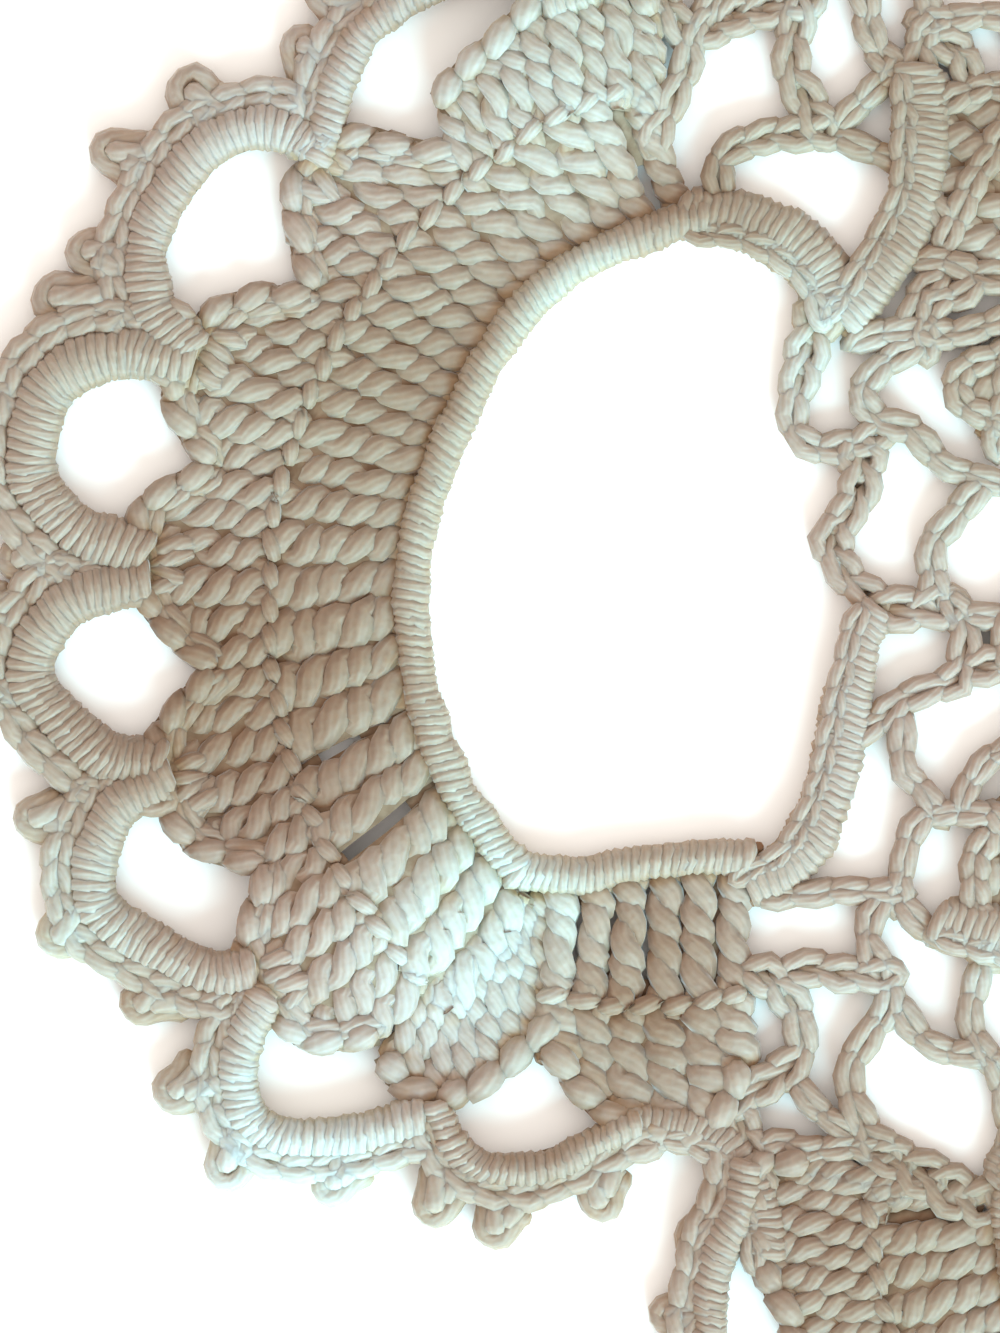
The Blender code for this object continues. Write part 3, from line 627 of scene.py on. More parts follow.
def chain(basket, line, end=None, half=None, rise=CHAIN_RISE, stitch=CHAIN_LENGTH,
          yarn=CHAIN_YARN, height=CHAIN_HEIGHT, turn=0.0):
    """Chain stitches along a line. Without a half width they fill the line's own width."""
    end = end or line.length
    count = max(int(round(end / stitch)), 1)
    rows = np.vstack([CHAIN_LOOP + (i, 0.0, 0.0) for i in range(count)])
    s = rows[:, 0] * (end / count)
    room = line.read(line.width, s) / 2 - yarn + CHAIN_SPILL
    widths = np.full(len(s), half) if half else np.maximum(room, CHAIN_NARROWEST)
    basket.add(line.points(s, rows[:, 1] * widths, rise + rows[:, 2] * height), yarn, turn)
    behind.under(line, turn, half * CHAIN_HEART if half else None)


print("a chain stitch, mm:", CHAIN_LENGTH, "long, yarn", 2 * CHAIN_YARN)

# %% [markdown]
# ## Posts
#
# A treble is a tall stitch: the yarn is wrapped round the hook before it is drawn through, so its
# post looks like two fat strands twisted together, always the same way round. Two helices half a
# turn apart give that, thicker where they cross on top than where they dive, and pressed to an
# oval section by washing and ironing. Every treble is drawn up in the same steps, so the lumps of
# neighbours stand in rows: all posts start at the same point of the twist.

# %% Sizes of a post
# Of the twist: mm for a full turn, widest swing of a strand, half the width of the strand.
ROW_LAY, PETAL_LAY = (5.6, 1.45, 1.24), (5.4, 1.10, 1.02)
POST_STEPS = 8                     # points in a full turn
POST_SHORTEST = 6                  # steps in the shortest post
POST_RISE = 1.45
POST_COMMON = 4.5                  # mm of room that the yarn fills as it is
POST_FATTEST = 1.35                # how much fatter it gets where it has more
POST_NARROWEST = 0.55              # swing of a strand where it has least, mm
POST_FLAT = 0.40                   # of a strand's section
POST_DIVE = 0.27                   # mm up and down
POST_START = 3.87                  # angle of the twist at the foot
POST_SWELL = 0.14
SLIT_LEAN, SLIT_NARROW = 0.20, 0.24   # mm that a post bows away from a slit, share it narrows
SLIT_REACH = 1.6                   # the larger, the shorter the bow, in shares of the slit
# Hand work: how unlike two posts are.
REACH_SPREAD, RISE_SPREAD = (0.92, 1.10), (-0.15, 0.15)
START_SPREAD, PACE_SPREAD = (-0.4, 0.4), (0.92, 1.08)
POST_UNEVEN = 0.45                 # of the twist, radians
WAVE, WAVE_START = 0.9, 6.0        # radians in each mm, and range of the angle at the start
print("a treble turns once in", ROW_LAY[0], "mm, a petal's post in", PETAL_LAY[0])


# %% Post of a treble
def slow_wave(s):
    """A wave along a strand that starts anywhere, for uneven hand work."""
    return np.sin(s * WAVE + chance.uniform(0.0, WAVE_START))


def post(basket, foot, head, spread, rise=POST_RISE, lay=ROW_LAY, steps=POST_STEPS, turn=0.0,
         lean_from=None):
    """Two strands twisted round each other from a foot to a head; spread is the room at each.

    lean_from is (start, end, side): between these distances the post leans away from a slit,
    which is on its left where side is 1 and on its right where it is -1.
    """
    line = Line([foot, head])
    twist, widest, yarn = lay
    fuller = float(np.clip(np.mean(spread) / POST_COMMON, 1.0, POST_FATTEST))
    widest, yarn = widest * fuller, yarn * fuller
    count = max(int(round(line.length / twist * steps)), POST_SHORTEST)
    s = np.linspace(0.0, line.length, count + 1)
    reach = np.interp(s, (0.0, line.length),
                      np.clip(np.array(spread) / 2 - yarn, POST_NARROWEST, widest))
    reach = reach * chance.uniform(*REACH_SPREAD)
    rise = rise + chance.uniform(*RISE_SPREAD)
    lean = np.zeros(len(s))
    if lean_from:
        start, end, side = lean_from
        bow = np.clip(1.0 - ((s - (start + end) / 2) / (end - start) * SLIT_REACH) ** 2, 0.0, 1.0)
        lean, reach = -side * SLIT_LEAN * bow, reach * (1.0 - SLIT_NARROW * bow)
    phase = POST_START + chance.uniform(*START_SPREAD)
    pace = chance.uniform(*PACE_SPREAD)
    uneven = POST_UNEVEN * slow_wave(s)
    for strand in (0, 1):
        angle = phase + math.pi * strand - math.tau * s * pace / twist + uneven
        basket.add(line.points(s, lean + reach * np.cos(angle),
                               rise + POST_DIVE * np.sin(angle)),
                   yarn, turn, 1.0 + POST_SWELL * np.sin(angle), POST_FLAT)


print("steps in a post of 12 mm:", round(12.0 / ROW_LAY[0] * POST_STEPS))

# %% [markdown]
# ## Rows of posts
#
# A row is posts side by side, all standing on one line and ending on the next, so where the lines
# part the posts fan out and grow fatter. Copying one post with an Array modifier would give them
# all the same twist, which hand work never has: each is drawn afresh instead. Here and there two
# posts lean apart and leave a slit, and there the band behind the row has to stay open as well.

# %% Row of posts
ROW_FILL, PETAL_FILL = 1.12, 1.30  # room of a post, as a share of its part of the line
POST_HEART = 1.0                   # mm that the band behind a single post is narrower
SEAM_HALF = 0.9                    # half the width of the band behind a joint
SEAM_SHORTEST = 0.8


def seam(line, slits, turn):
    """Band that closes the joint between two posts, except where a slit is open."""
    ends = [0.0] + [distance for slit in slits for distance in slit] + [line.length]
    for start, end in zip(ends[::2], ends[1::2]):
        if end - start > SEAM_SHORTEST:
            places = line.at([start, end])[0]
            behind.under(Line([tuple(place) for place in places]), turn, SEAM_HALF)


def row_of_posts(basket, feet, heads, count, turn=0.0, rise=POST_RISE, steps=POST_STEPS,
                 lay=ROW_LAY, fill=ROW_FILL, backed=True, slits=()):
    """Posts from one line to the next, evenly spread over both and as wide as they have room.

    Each slit is (number of the post after it, start, end): there the posts lean apart. Without
    a band behind the whole row, each post and each closed joint has one of its own.
    """
    if backed:
        behind.between(feet, heads, rise, turn)
    spread = (fill * feet.length / count, fill * heads.length / count)
    beside = {}
    for number, start, end in slits:
        beside.setdefault(number - 1, (start, end, 1.0))
        beside.setdefault(number, (start, end, -1.0))

    def at(share):
        return [tuple(line.at([share * line.length])[0][0]) for line in (feet, heads)]

    for i in range(count):
        foot, head = at((i + 0.5) / count)
        post(basket, foot, head, spread, rise=rise, lay=lay, steps=steps, turn=turn,
             lean_from=beside.get(i))
        if not backed:
            behind.under(Line([foot, head]), turn, min(spread) / 2 - POST_HEART, rise + ROW_BAND)
            open_here = [(start, end) for number, start, end in slits if number == i]
            if i:
                seam(Line(at(i / count)), open_here, turn)


print("posts fill", ROW_FILL, "of their room in a row,", PETAL_FILL, "in a petal")

# %% [markdown]
# ## Fat loops
#
# The tops of the first row and the outer edges of the petals are drawn tight. Only the front half
# of each chain loop stays in sight there, as a fat lump that dives at both ends. A single strand
# that swells from stitch to stitch does that.

# %% Row of fat loops
LOOP_PLACES = ((0.0, 0.74, -0.75), (0.17, 0.95, 0.0), (0.40, 1.12, 0.30), (0.65, 1.10, 0.30),
               (0.86, 0.92, 0.0))  # share of the stitch, thickness, height in mm
LOOP_SWAY = 0.35                   # mm that a loop leans across the line
LOOP_SPREAD = (0.6, 1.4)           # how unlike two loops lean
LOOP_LEAN = (2.0, 0.9)             # from -0.9 at a loop's start to 1.1 at its end
LOOP_FLAT = 0.8                    # of the section
LOOP_HEART = 0.85                  # half width of the band behind, as a share of the yarn's


def fat_loops(basket, line, stitch, yarn, rise, turn=0.0):
    """Lumps along a line, one for each stitch, leaning a little across it."""
    count = max(int(round(line.length / stitch)), 1)
    stitch = line.length / count
    s, thick, up, aside = [], [], [], []
    for i in range(count):
        tilt = LOOP_SWAY * chance.uniform(*LOOP_SPREAD)
        for share, size, height in LOOP_PLACES:
            s.append((i + share) * stitch)
            thick.append(size)
            up.append(rise + height)
            aside.append(tilt * (share * LOOP_LEAN[0] - LOOP_LEAN[1]))
    basket.add(line.points(np.array(s), np.array(aside), np.array(up)), yarn, turn,
               np.array(thick), LOOP_FLAT)
    behind.under(line, turn, yarn * LOOP_HEART)


print("points in a fat loop:", len(LOOP_PLACES))

# %% [markdown]
# ## Covered cords
#
# The rim of the eye and the arches are worked over a core: stitch beside stitch wraps it until it
# can't be seen. Rings set side by side would look like a stack of washers, so one long helix with
# a turn for every wrap does it instead. Each wrap leans a little along the cord, and a slow wave
# spreads some of them and crowds others.

# %% Wraps round a core
WRAP_PITCH = 0.92
WRAP_YARN = 0.86
WRAP_POINTS = 8
WRAP_SLANT = 0.55                  # mm that a wrap leans along the cord
WRAP_SPILL = 0.2                   # mm that the wraps reach past the line's own width
WRAP_NARROWEST = 0.5               # half width
WRAP_HEART = 0.5                   # mm that the band behind is wider to each side
WRAP_UNEVEN, WRAP_DRIFT = 0.18, 0.37     # mm along the cord, and how its size comes and goes
SLACK, SLACK_WAVES = 0.06, (1.7, 0.61)   # share of the width, radians in each mm


def wraps(basket, line, half, tall, rise, turn=0.0):
    """A helix along a line, half its width to each side and as tall up and down.

    Without a half width it fills the line's own width.
    """
    turns = max(int(round(line.length / WRAP_PITCH)), 1)
    angle = np.linspace(0.0, math.tau * turns, turns * WRAP_POINTS + 1)
    s = line.length * angle / (math.tau * turns)
    s = s + WRAP_UNEVEN * slow_wave(s) * np.sin(s * WRAP_DRIFT)
    slack = 1.0 + SLACK * np.sin(s * SLACK_WAVES[0]) * np.sin(s * SLACK_WAVES[1])
    under = half + WRAP_HEART if half else None
    if not half:
        room = line.read(line.width, s) / 2 + WRAP_SPILL - WRAP_YARN
        half = np.maximum(room, WRAP_NARROWEST)
    basket.add(line.points(s + WRAP_SLANT * np.cos(angle), half * slack * np.cos(angle),
                           rise + tall * np.sin(angle)), WRAP_YARN, turn)
    behind.under(line, turn, under)


print("wraps on 10 mm of cord:", round(10 / WRAP_PITCH))

# %% [markdown]
# ## Picots
#
# A picot is three chains closed into a knot on the edge: a stubby solid tooth, broad where it
# stands and blunt at its end. Its yarn is drawn tight and swells: one fat strand goes up one
# flank, over the end and down the other, two more fill the tooth and cross on its top.

# %% Picots
PICOT_LOOPS = [
    [(-2.6, -3.4, 1.4), (-1.7, -1.9, 1.7), (-1.3, -0.5, 1.8), (-1.1, 0.3, 1.8), (-0.6, 0.8, 1.7),
     (0.0, 0.95, 1.6), (0.6, 0.8, 1.7), (1.1, 0.3, 1.8), (1.3, -0.5, 1.8), (1.7, -1.9, 1.7),
     (2.6, -3.4, 1.4)],
    [(-1.3, -3.8, 1.9), (-0.7, -2.2, 2.1), (-0.3, -0.9, 2.2), (0.0, 0.4, 2.0)],
    [(1.2, -3.8, 1.9), (0.9, -2.9, 2.0), (0.6, -2.0, 2.2), (0.3, -0.8, 2.0)],
]                                  # across, out, up, mm
PICOT_YARN = 1.15
PICOT_FILL = 1.25                  # how much fatter the yarn in the middle is drawn
PICOT_LEAN = (-0.3, 0.3)           # mm to the side for each mm out
PICOT_STEPS = 6                    # points of a strand, over those of its loop
PICOT_HEART = (-2.8, 0.9, 1.6)     # band behind: start, end, half width, mm


def picot(basket, centre, out, size, turn=0.0):
    """A tooth round a place on the edge, pointing out."""
    across = np.array((-out[1], out[0]))
    lean = chance.uniform(*PICOT_LEAN)
    for number, loop in enumerate(PICOT_LOOPS):
        rows = np.array(loop)
        sideways = rows[:, :1] + rows[:, 1:2] * lean
        spots = centre + (across * sideways + out * rows[:, 1:2]) * size
        line = Line([(x, y, z) for (x, y), z in zip(spots, rows[:, 2])])
        s = np.linspace(0.0, line.length, len(loop) + PICOT_STEPS)
        place = line.at(s)[0]
        basket.add(np.column_stack((place, line.read(line.width, s))), PICOT_YARN, turn,
                   PICOT_FILL if number else 1.0)
    start, end, half = PICOT_HEART
    behind.under(Line([tuple(centre + out * start), tuple(centre + out * end)]), turn, half)


print("strands in a picot:", len(PICOT_LOOPS))

# %% [markdown]
# ## The arches
#
# Between the petals' tips the yarn is thrown across as a loose cord and covered: wraps show along
# the inner side of the arch, and their heads make a chain ridge outside, which carries the picots.
# The middle arches are written by station and radius, because they follow the petals. Those at
# the fan's two ends reach over to its neighbours and are written place by place.

# %% One covered arch
WRAP_SHARE = 0.70                  # of the arch's width
ARCH_TALL, ARCH_MIDDLE = 1.6, 2.0  # half the height of a wrap, height of its middle, mm
RIDGE_INSET = 1.65                 # mm from the outer edge to the middle of the ridge
RIDGE = {"half": 0.90, "rise": 2.15, "stitch": 3.1, "yarn": 1.15}


def outward(line, eye):
    """+1 or -1: the side of a line that looks away from the fan's eye."""
    middle, side = line.at([line.length / 2])
    return 1.0 if np.dot(side[0], middle[0] - np.array(eye)) > 0 else -1.0


def arch(basket, stations, turn):
    """Wraps and a chain ridge along a centre line of x, y, width."""
    middle = Line(stations)
    side = outward(middle, FAN_EYE)
    half = float(np.mean(middle.width)) / 2
    inner = Line(stations, -side * half * (1.0 - WRAP_SHARE))
    wraps(basket, inner, half * WRAP_SHARE - WRAP_YARN, ARCH_TALL, ARCH_MIDDLE, turn)
    chain(basket, Line(stations, side * (half - RIDGE_INSET)), turn=turn, **RIDGE)


print("wraps take", WRAP_SHARE, "of an arch's width")

# %% Arches and picots of a fan
ARCH_SINK = 1.0                    # how far the feet reach into the petals' tips
ARCH_HALFWAY = 0.6                 # share of the way at which the second radius takes over
# Station of each foot, radius of the first and the second half, width.
ARCHES = [
    (2.75, 5.1, 77.3, 77.3, 7.4),
    (5, 7, 80.9, 80.8, 8.4),
    (7, 8.85, 79.6, 77.1, 8.0),
    (8.75, 10.85, 78.4, 75.4, 7.4),
]
# Share of the way, share of the rise.
ARCH_RISE = [(0.0, 0.0), (0.09, 0.55), (0.28, 0.93), (0.5, 1.0), (0.72, 0.93), (0.91, 0.55),
             (1.0, 0.0)]
# x, y, width.
END_ARCHES = {
    "upper": [(-120.2, 32.1, 6.0), (-118.6, 38.5, 6.4), (-116.9, 43.0, 7.0), (-113.6, 47.0, 7.0),
              (-109.6, 49.6, 6.4), (-104.4, 51.5, 6.0), (-98.0, 52.6, 5.6), (-93.2, 52.0, 5.0),
              (-88.4, 52.7, 4.6)],
    "lower": [(-125.6, -51.2, 6.6), (-128.4, -57.5, 6.8), (-127.4, -63.5, 6.8),
              (-122.6, -66.7, 6.6), (-116.1, -66.4, 6.2), (-108.6, -64.5, 5.6)],
    "last": [(-108.6, -63.0, 6.0), (-105.6, -68.0, 6.0), (-101.6, -70.0, 5.6),
             (-96.1, -69.2, 5.4), (-90.8, -66.7, 5.0), (-86.8, -64.8, 4.4)],
}
# Picots: angle and radius of each from the eye, size.
PICOTS = [
    (112.2, 71.8, 1.1), (118.1, 75.3, 1.0), (128.6, 77.4, 1.1), (132.6, 75.2, 1.1),
    (140.6, 80.2, 1.6), (147.3, 82.8, 1.3), (154.2, 80.5, 1.2), (158.1, 81.7, 1.3),
    (165.5, 84.6, 1.0), (173.0, 85.4, 1.0), (176.9, 79.4, 1.0), (180.5, 83.6, 1.0),
    (186.3, 82.4, 1.0), (195.6, 80.8, 1.0), (203.7, 82.4, 1.1), (210.8, 78.3, 1.1),
    (217.6, 80.2, 1.1), (224.0, 81.2, 1.2), (230.4, 75.4, 1.0), (237.9, 71.0, 1.0),
    (243.2, 70.2, 0.9), (250.5, 63.4, 1.0),
]


def arch_stations(first, last, near_radius, far_radius, width):
    """Centre line of a covered arch from one petal's tip to the next."""
    start, end = (FIRST_STATION + STATION_STEP * station for station in (first, last))
    foot = TIP_RADIUS - ARCH_SINK
    stations = []
    for share, rise in ARCH_RISE:
        radius = near_radius if share < ARCH_HALFWAY else far_radius
        place = polar(foot + (radius - foot) * rise, start + (end - start) * share, FAN_EYE)
        stations.append(place + (width,))
    return stations


def add_arches(basket, turn):
    for row in ARCHES:
        arch(basket, arch_stations(*row), turn)
    for stations in END_ARCHES.values():
        arch(basket, stations, turn)
    for angle, radius, size in PICOTS:
        out = np.array(polar(1.0, angle))
        picot(basket, np.array(FAN_EYE) + out * radius, out, size, turn)


print("arches:", len(ARCHES) + len(END_ARCHES), " picots:", len(PICOTS))

# %% [markdown]
# ## A fan and its rim
#
# A fan is worked from its eye outwards: the covered rim, a row of trebles whose tops show as small
# loops, then petals of finer stitches, each edged with fat loops. The rim is one long run of
# wraps on a circle, but the hand strayed from it here and there, and at the fan's end it leaves
# the circle and runs straight under the last petals. A torus could be bent to that; a line
# through written places needs no bending.

# %% Rim of the eye
# The straight end of the rim: x, y.
RIM_FOOT = [(-98.8, -39.2), (-93.0, -39.3), (-88.6, -38.4), (-81.0, -37.8), (-75.8, -37.5)]
# How far the hand-worked rim strays from its circle: angle, mm.
RIM_STRAY = [(106.0, -0.3), (116.0, 0.1), (130.0, 0.7), (142.0, 0.2), (155.0, -0.8), (172.0, -0.2),
             (200.0, -0.2), (216.0, -0.5)]
RIM_ENDS = (-0.4, STATION_COUNT - 1.4)   # stations between which it is round
RIM_STEPS = 24
RIM_SPILL = 0.3                    # mm that the wraps reach past the rim's width
RIM_TALL, RIM_MIDDLE = 1.05, 1.9   # half the height of a wrap, height of its middle, mm


def ring_line(radius, first=0.0, last=STATION_COUNT - 1.0, steps=25):
    """Part of a circle round the fan's eye, between two stations."""
    return Line([polar(radius, FIRST_STATION + STATION_STEP * station, FAN_EYE)
                 for station in np.linspace(first, last, steps)])


def add_rim(basket, turn):
    arc = []
    for station in np.linspace(*RIM_ENDS, RIM_STEPS):
        angle = FIRST_STATION + STATION_STEP * station
        stray = np.interp(angle, *zip(*RIM_STRAY))
        arc.append(polar(EYE_RADIUS + RIM_WIDTH / 2 + stray, angle, FAN_EYE))
    line = Line(arc + RIM_FOOT)
    wraps(basket, line, RIM_WIDTH / 2 + RIM_SPILL - WRAP_YARN, RIM_TALL, RIM_MIDDLE, turn)


print("rim of an eye, mm across:", 2 * (EYE_RADIUS + RIM_WIDTH))

# %% [markdown]
# ## The first row
#
# Round the rim stand single trebles, broad and easy to count, so each has its own place instead of
# an even share of the row. Three narrow slits between them let the table through. The work leans:
# far from its start the heads run ahead of the feet. A helper turns an angle in the row into a
# place, with the lean already in it, and posts, bands and joints all use it.

# %% Places in the first row
# Angles at half height where one post ends and the next begins, in blocks parted by slits.
ROW_BLOCKS = [
    [112.9, 115.6, 119.9, 123.9, 127.9, 132.0, 136.0, 139.8, 143.8, 147.6, 151.4, 155.3, 159.0,
     162.8, 166.6, 170.6, 175.2, 180.2, 185.6, 190.4, 195.9],
    [197.0, 202.0, 206.5],
    [207.8, 213.2, 218.5, 223.8, 228.8],
]
ROW_LEAN = [(150.0, 0.0), (190.0, 3.2)]          # angle, lead of the head in degrees
# The slits: angle, radii between which they are open.
ROW_SLITS = [(112.0, 42.4, 46.2), (196.4, 48.0, 51.4), (207.1, 45.9, 53.0)]
FOOT_RADIUS = EYE_RADIUS + RIM_WIDTH - 0.9       # the feet reach 0.9 mm under the rim


def row_spot(angle, radius):
    """Place in row one on the edge of a post that is at this angle at half height."""
    share = (radius - FOOT_RADIUS) / (ROW_ONE_RADIUS - FOOT_RADIUS) - 0.5
    return polar(radius, angle + share * np.interp(angle, *zip(*ROW_LEAN)), FAN_EYE)


print("trebles in the blocks of the first row:", [len(edges) - 1 for edges in ROW_BLOCKS])

# %% First row of trebles
SLIT_NEAR = 1.0                    # degrees within which a post's edge is a slit's edge
SLIT_EASE = 0.6                    # mm before and after a slit where its posts start to bow
HEAD_INSET = 0.3                   # mm from the row's end to the middle of its tops
BAND_PAST = (0.3, 0.8)             # mm that the band goes past the feet and the heads
FIRST_ROW_FILL = 1.20
LONE_POST = (108.8, 109.6)         # angle of the foot and the head of the post before them
LONE_SPREAD, LONE_HEART = (3.2, 3.2), 1.1
ROW_TOPS = {"stitch": 3.1, "yarn": 0.85, "rise": 1.60}


def bow_beside(start, end):
    """From where to where, and to which side, a post between two angles bows from a slit."""
    lean = None
    for angle, near, far in ROW_SLITS:
        if min(abs(start - angle), abs(end - angle)) < SLIT_NEAR:
            lean = (near - FOOT_RADIUS - SLIT_EASE, far - FOOT_RADIUS + SLIT_EASE,
                    1.0 if end < angle else -1.0)
    return lean


def add_first_row(basket, turn):
    ends = (FOOT_RADIUS, ROW_ONE_RADIUS)
    for edges in ROW_BLOCKS:
        feet, heads = (Line([row_spot(angle, radius) for angle in edges])
                       for radius in (ends[0] - BAND_PAST[0], ends[1] + BAND_PAST[1]))
        behind.between(feet, heads, POST_RISE, turn)
        for start, end in zip(edges, edges[1:]):
            spread = [FIRST_ROW_FILL * radius * math.radians(end - start) for radius in ends]
            foot, head = (row_spot((start + end) / 2, radius) for radius in ends)
            post(basket, foot, head, spread, turn=turn, lean_from=bow_beside(start, end))
    for angle, near, far in ROW_SLITS:
        seam(Line([row_spot(angle, radius) for radius in ends]),
             [(near - FOOT_RADIUS, far - FOOT_RADIUS)], turn)
    foot, head = (polar(radius, angle, FAN_EYE) for radius, angle in zip(ends, LONE_POST))
    post(basket, foot, head, LONE_SPREAD, turn=turn)
    behind.under(Line([foot, head]), turn, LONE_HEART)
    fat_loops(basket, ring_line(ROW_ONE_RADIUS - HEAD_INSET), turn=turn, **ROW_TOPS)


print("height of the first row, mm:", round(ROW_ONE_RADIUS - FOOT_RADIUS, 1))

# %% [markdown]
# ## The petals
#
# On the first row stand five petals of finer posts. Each has the same six corners from notch to
# notch, but no two came out alike on the real thing, so every shoulder and notch has its own
# stray. Along the edge run fat loops, inside them a thin chain, and the tip is tied to the two
# arches that start there with a few long stitches.

# %% Petals
# How far the petals stand out of the regular form: at both shoulders of the petal on a station,
# and at the notch on a station, mm.
SHOULDER_STRAY = {3: (-2.2, -1.3), 5: (-0.3, 1.8), 7: (2.8, -0.4), 9: (1.2, 1.0), 11: (0.5, 1.8)}
NOTCH_STRAY = {2: -2.4, 4: -0.9, 6: 1.6, 8: 0.4, 10: 0.8, 12: 1.2}
TIP_STRAY = 0.4                    # of its shoulder's stray
PETAL_POSTS = 6
PETAL_RISE = 1.5
EDGE_INSET = 1.2                   # the middle of the loops lies this far inside the edge
PETAL_LOOPS = {"stitch": 4.0, "yarn": 1.25, "rise": 1.8}
INNER_INSET, INNER_SHARE = 2.6, 0.9      # the chain inside: mm from the edge, how far it runs
INNER_CHAIN = {"half": 0.5, "rise": 1.3, "stitch": 3.4}


def petal_edge(tip_station, inset=EDGE_INSET):
    """Outer edge of a petal, from notch to notch."""
    middle = FIRST_STATION + STATION_STEP * tip_station
    left, right = middle - STATION_STEP, middle + STATION_STEP
    before, after = SHOULDER_STRAY[tip_station]
    corners = [(NOTCH_RADIUS + NOTCH_STRAY[tip_station - 1], left),
               (SHOULDER_RADIUS + before, left + SHOULDER_SHIFT),
               (TIP_RADIUS + before * TIP_STRAY, middle - TIP_SHIFT),
               (TIP_RADIUS + after * TIP_STRAY, middle + TIP_SHIFT),
               (SHOULDER_RADIUS + after, right - SHOULDER_SHIFT),
               (NOTCH_RADIUS + NOTCH_STRAY[tip_station + 1], right)]
    return Line([polar(radius - inset, angle, FAN_EYE) for radius, angle in corners])


print("edge of the middle petal, mm:", round(petal_edge(7).length, 1))

# %% Necks
NECK_STRANDS, NECK_YARN, NECK_FLAT = 4, 1.0, 0.7
NECK_LEAN, NECK_SHIFT = (-0.9, 0.9), (-0.8, 0.8)   # how unlike: degrees aside, mm outwards
# Along a strand: radius, half width of the neck in degrees, height, share of the lean.
NECK = ((62.2, 1.6, 1.5, -1.0), (63.8, 1.8, 2.0, -0.4), (65.4, 1.9, 2.1, 0.4),
        (66.8, 2.0, 1.7, 1.0))


def add_neck(basket, middle, turn):
    """Long stitches that tie the feet of two arches into the tip of the petal between them."""
    for i in range(NECK_STRANDS):
        share = i / (NECK_STRANDS - 1) * 2 - 1
        lean, shift = chance.uniform(*NECK_LEAN), chance.uniform(*NECK_SHIFT)
        rows = [polar(radius + shift, middle + share * spread + lean * along, FAN_EYE) + (rise,)
                for radius, spread, rise, along in NECK]
        basket.add(rows, NECK_YARN, turn, flat=NECK_FLAT)


def add_petals(basket, turn):
    for tip_station in range(3, STATION_COUNT - 1, 2):
        feet = ring_line(ROW_ONE_RADIUS - HEAD_INSET, tip_station - 1.0, tip_station + 1.0, 7)
        heads = petal_edge(tip_station)
        row_of_posts(basket, feet, heads, PETAL_POSTS, turn, rise=PETAL_RISE, lay=PETAL_LAY,
                     fill=PETAL_FILL)
        fat_loops(basket, heads, turn=turn, **PETAL_LOOPS)
        chain(basket, petal_edge(tip_station, INNER_INSET), heads.length * INNER_SHARE,
              turn=turn, **INNER_CHAIN)
        add_neck(basket, FIRST_STATION + STATION_STEP * tip_station, turn)


print("petals between the end petals:", len(range(3, STATION_COUNT - 1, 2)))

# %% [markdown]
# ## The end petals
#
# The petals at both ends of a fan stand apart from the ring: they reach into the corners towards
# the neighbours. Their edges don't follow the circle, so the lines on which their posts stand are
# written place by place. The last one has two rows, and in the lower one the posts stand so far
# apart that the table shows between them. A third, low petal is tucked in beside it.

# %% End petals
# Lines on which their posts stand, in order from the eye outwards, and how many posts.
END_PETALS = {
    "first": (10, [[(-105.8, 29.8), (-98.6, 34.0), (-92.2, 36.4), (-87.2, 36.2), (-85.4, 32.6)],
                   [(-107.4, 37.3), (-104.9, 40.5), (-101.9, 42.9), (-98.6, 46.0), (-94.5, 48.1),
                    (-90.6, 50.1), (-88.2, 50.4), (-86.4, 45.6)]]),
    "tucked": (8, [[(-96.6, -40.2), (-101.2, -45.2), (-107.4, -50.0)],
                   [(-95.4, -53.6), (-100.2, -58.2), (-104.8, -61.0), (-110.2, -61.0),
                    (-113.0, -56.8)]]),
    "last": (6, [[(-96.6, -39.6), (-86.0, -39.2), (-76.0, -38.8)],
                 [(-97.4, -51.4), (-87.0, -52.4), (-76.0, -51.4)],
                 [(-96.2, -56.2), (-93.6, -60.0), (-90.3, -63.3), (-86.6, -64.8), (-82.3, -65.6),
                  (-78.5, -62.4), (-77.2, -57.4)]]),
}
# Slits in the first row of the last petal: number of the post after each, start and end, mm.
LAST_SLITS = [(0, 3.0, 8.5), (1, 3.4, 10.6), (2, 2.0, 6.0), (3, 2.0, 10.0)]
TUCKED_RISE, END_RISE = 1.2, POST_RISE + 0.2
# Loops on the outer edge and between two rows; their rise is over that of the posts.
EDGE_LOOPS = {"stitch": 3.8, "yarn": 1.45, "over": 0.3}
INNER_LOOPS = {"stitch": 3.2, "yarn": 0.85, "over": 0.1}


def add_end_petals(basket, turn):
    for name, (count, rows) in END_PETALS.items():
        lines = [Line(row) for row in rows]
        rise = TUCKED_RISE if name == "tucked" else END_RISE
        lay = ROW_LAY if name == "last" else PETAL_LAY
        for number, (feet, heads) in enumerate(zip(lines, lines[1:])):
            if name == "last" and number == 0:
                row_of_posts(basket, feet, heads, count, turn, rise=rise, lay=lay,
                             backed=False, slits=LAST_SLITS)
            else:
                row_of_posts(basket, feet, heads, count, turn, rise=rise, lay=lay,
                             fill=PETAL_FILL)
            loops = EDGE_LOOPS if number == len(lines) - 2 else INNER_LOOPS
            fat_loops(basket, heads, loops["stitch"], loops["yarn"], rise + loops["over"], turn)


print("posts in the end petals:", [count for count, _rows in END_PETALS.values()])
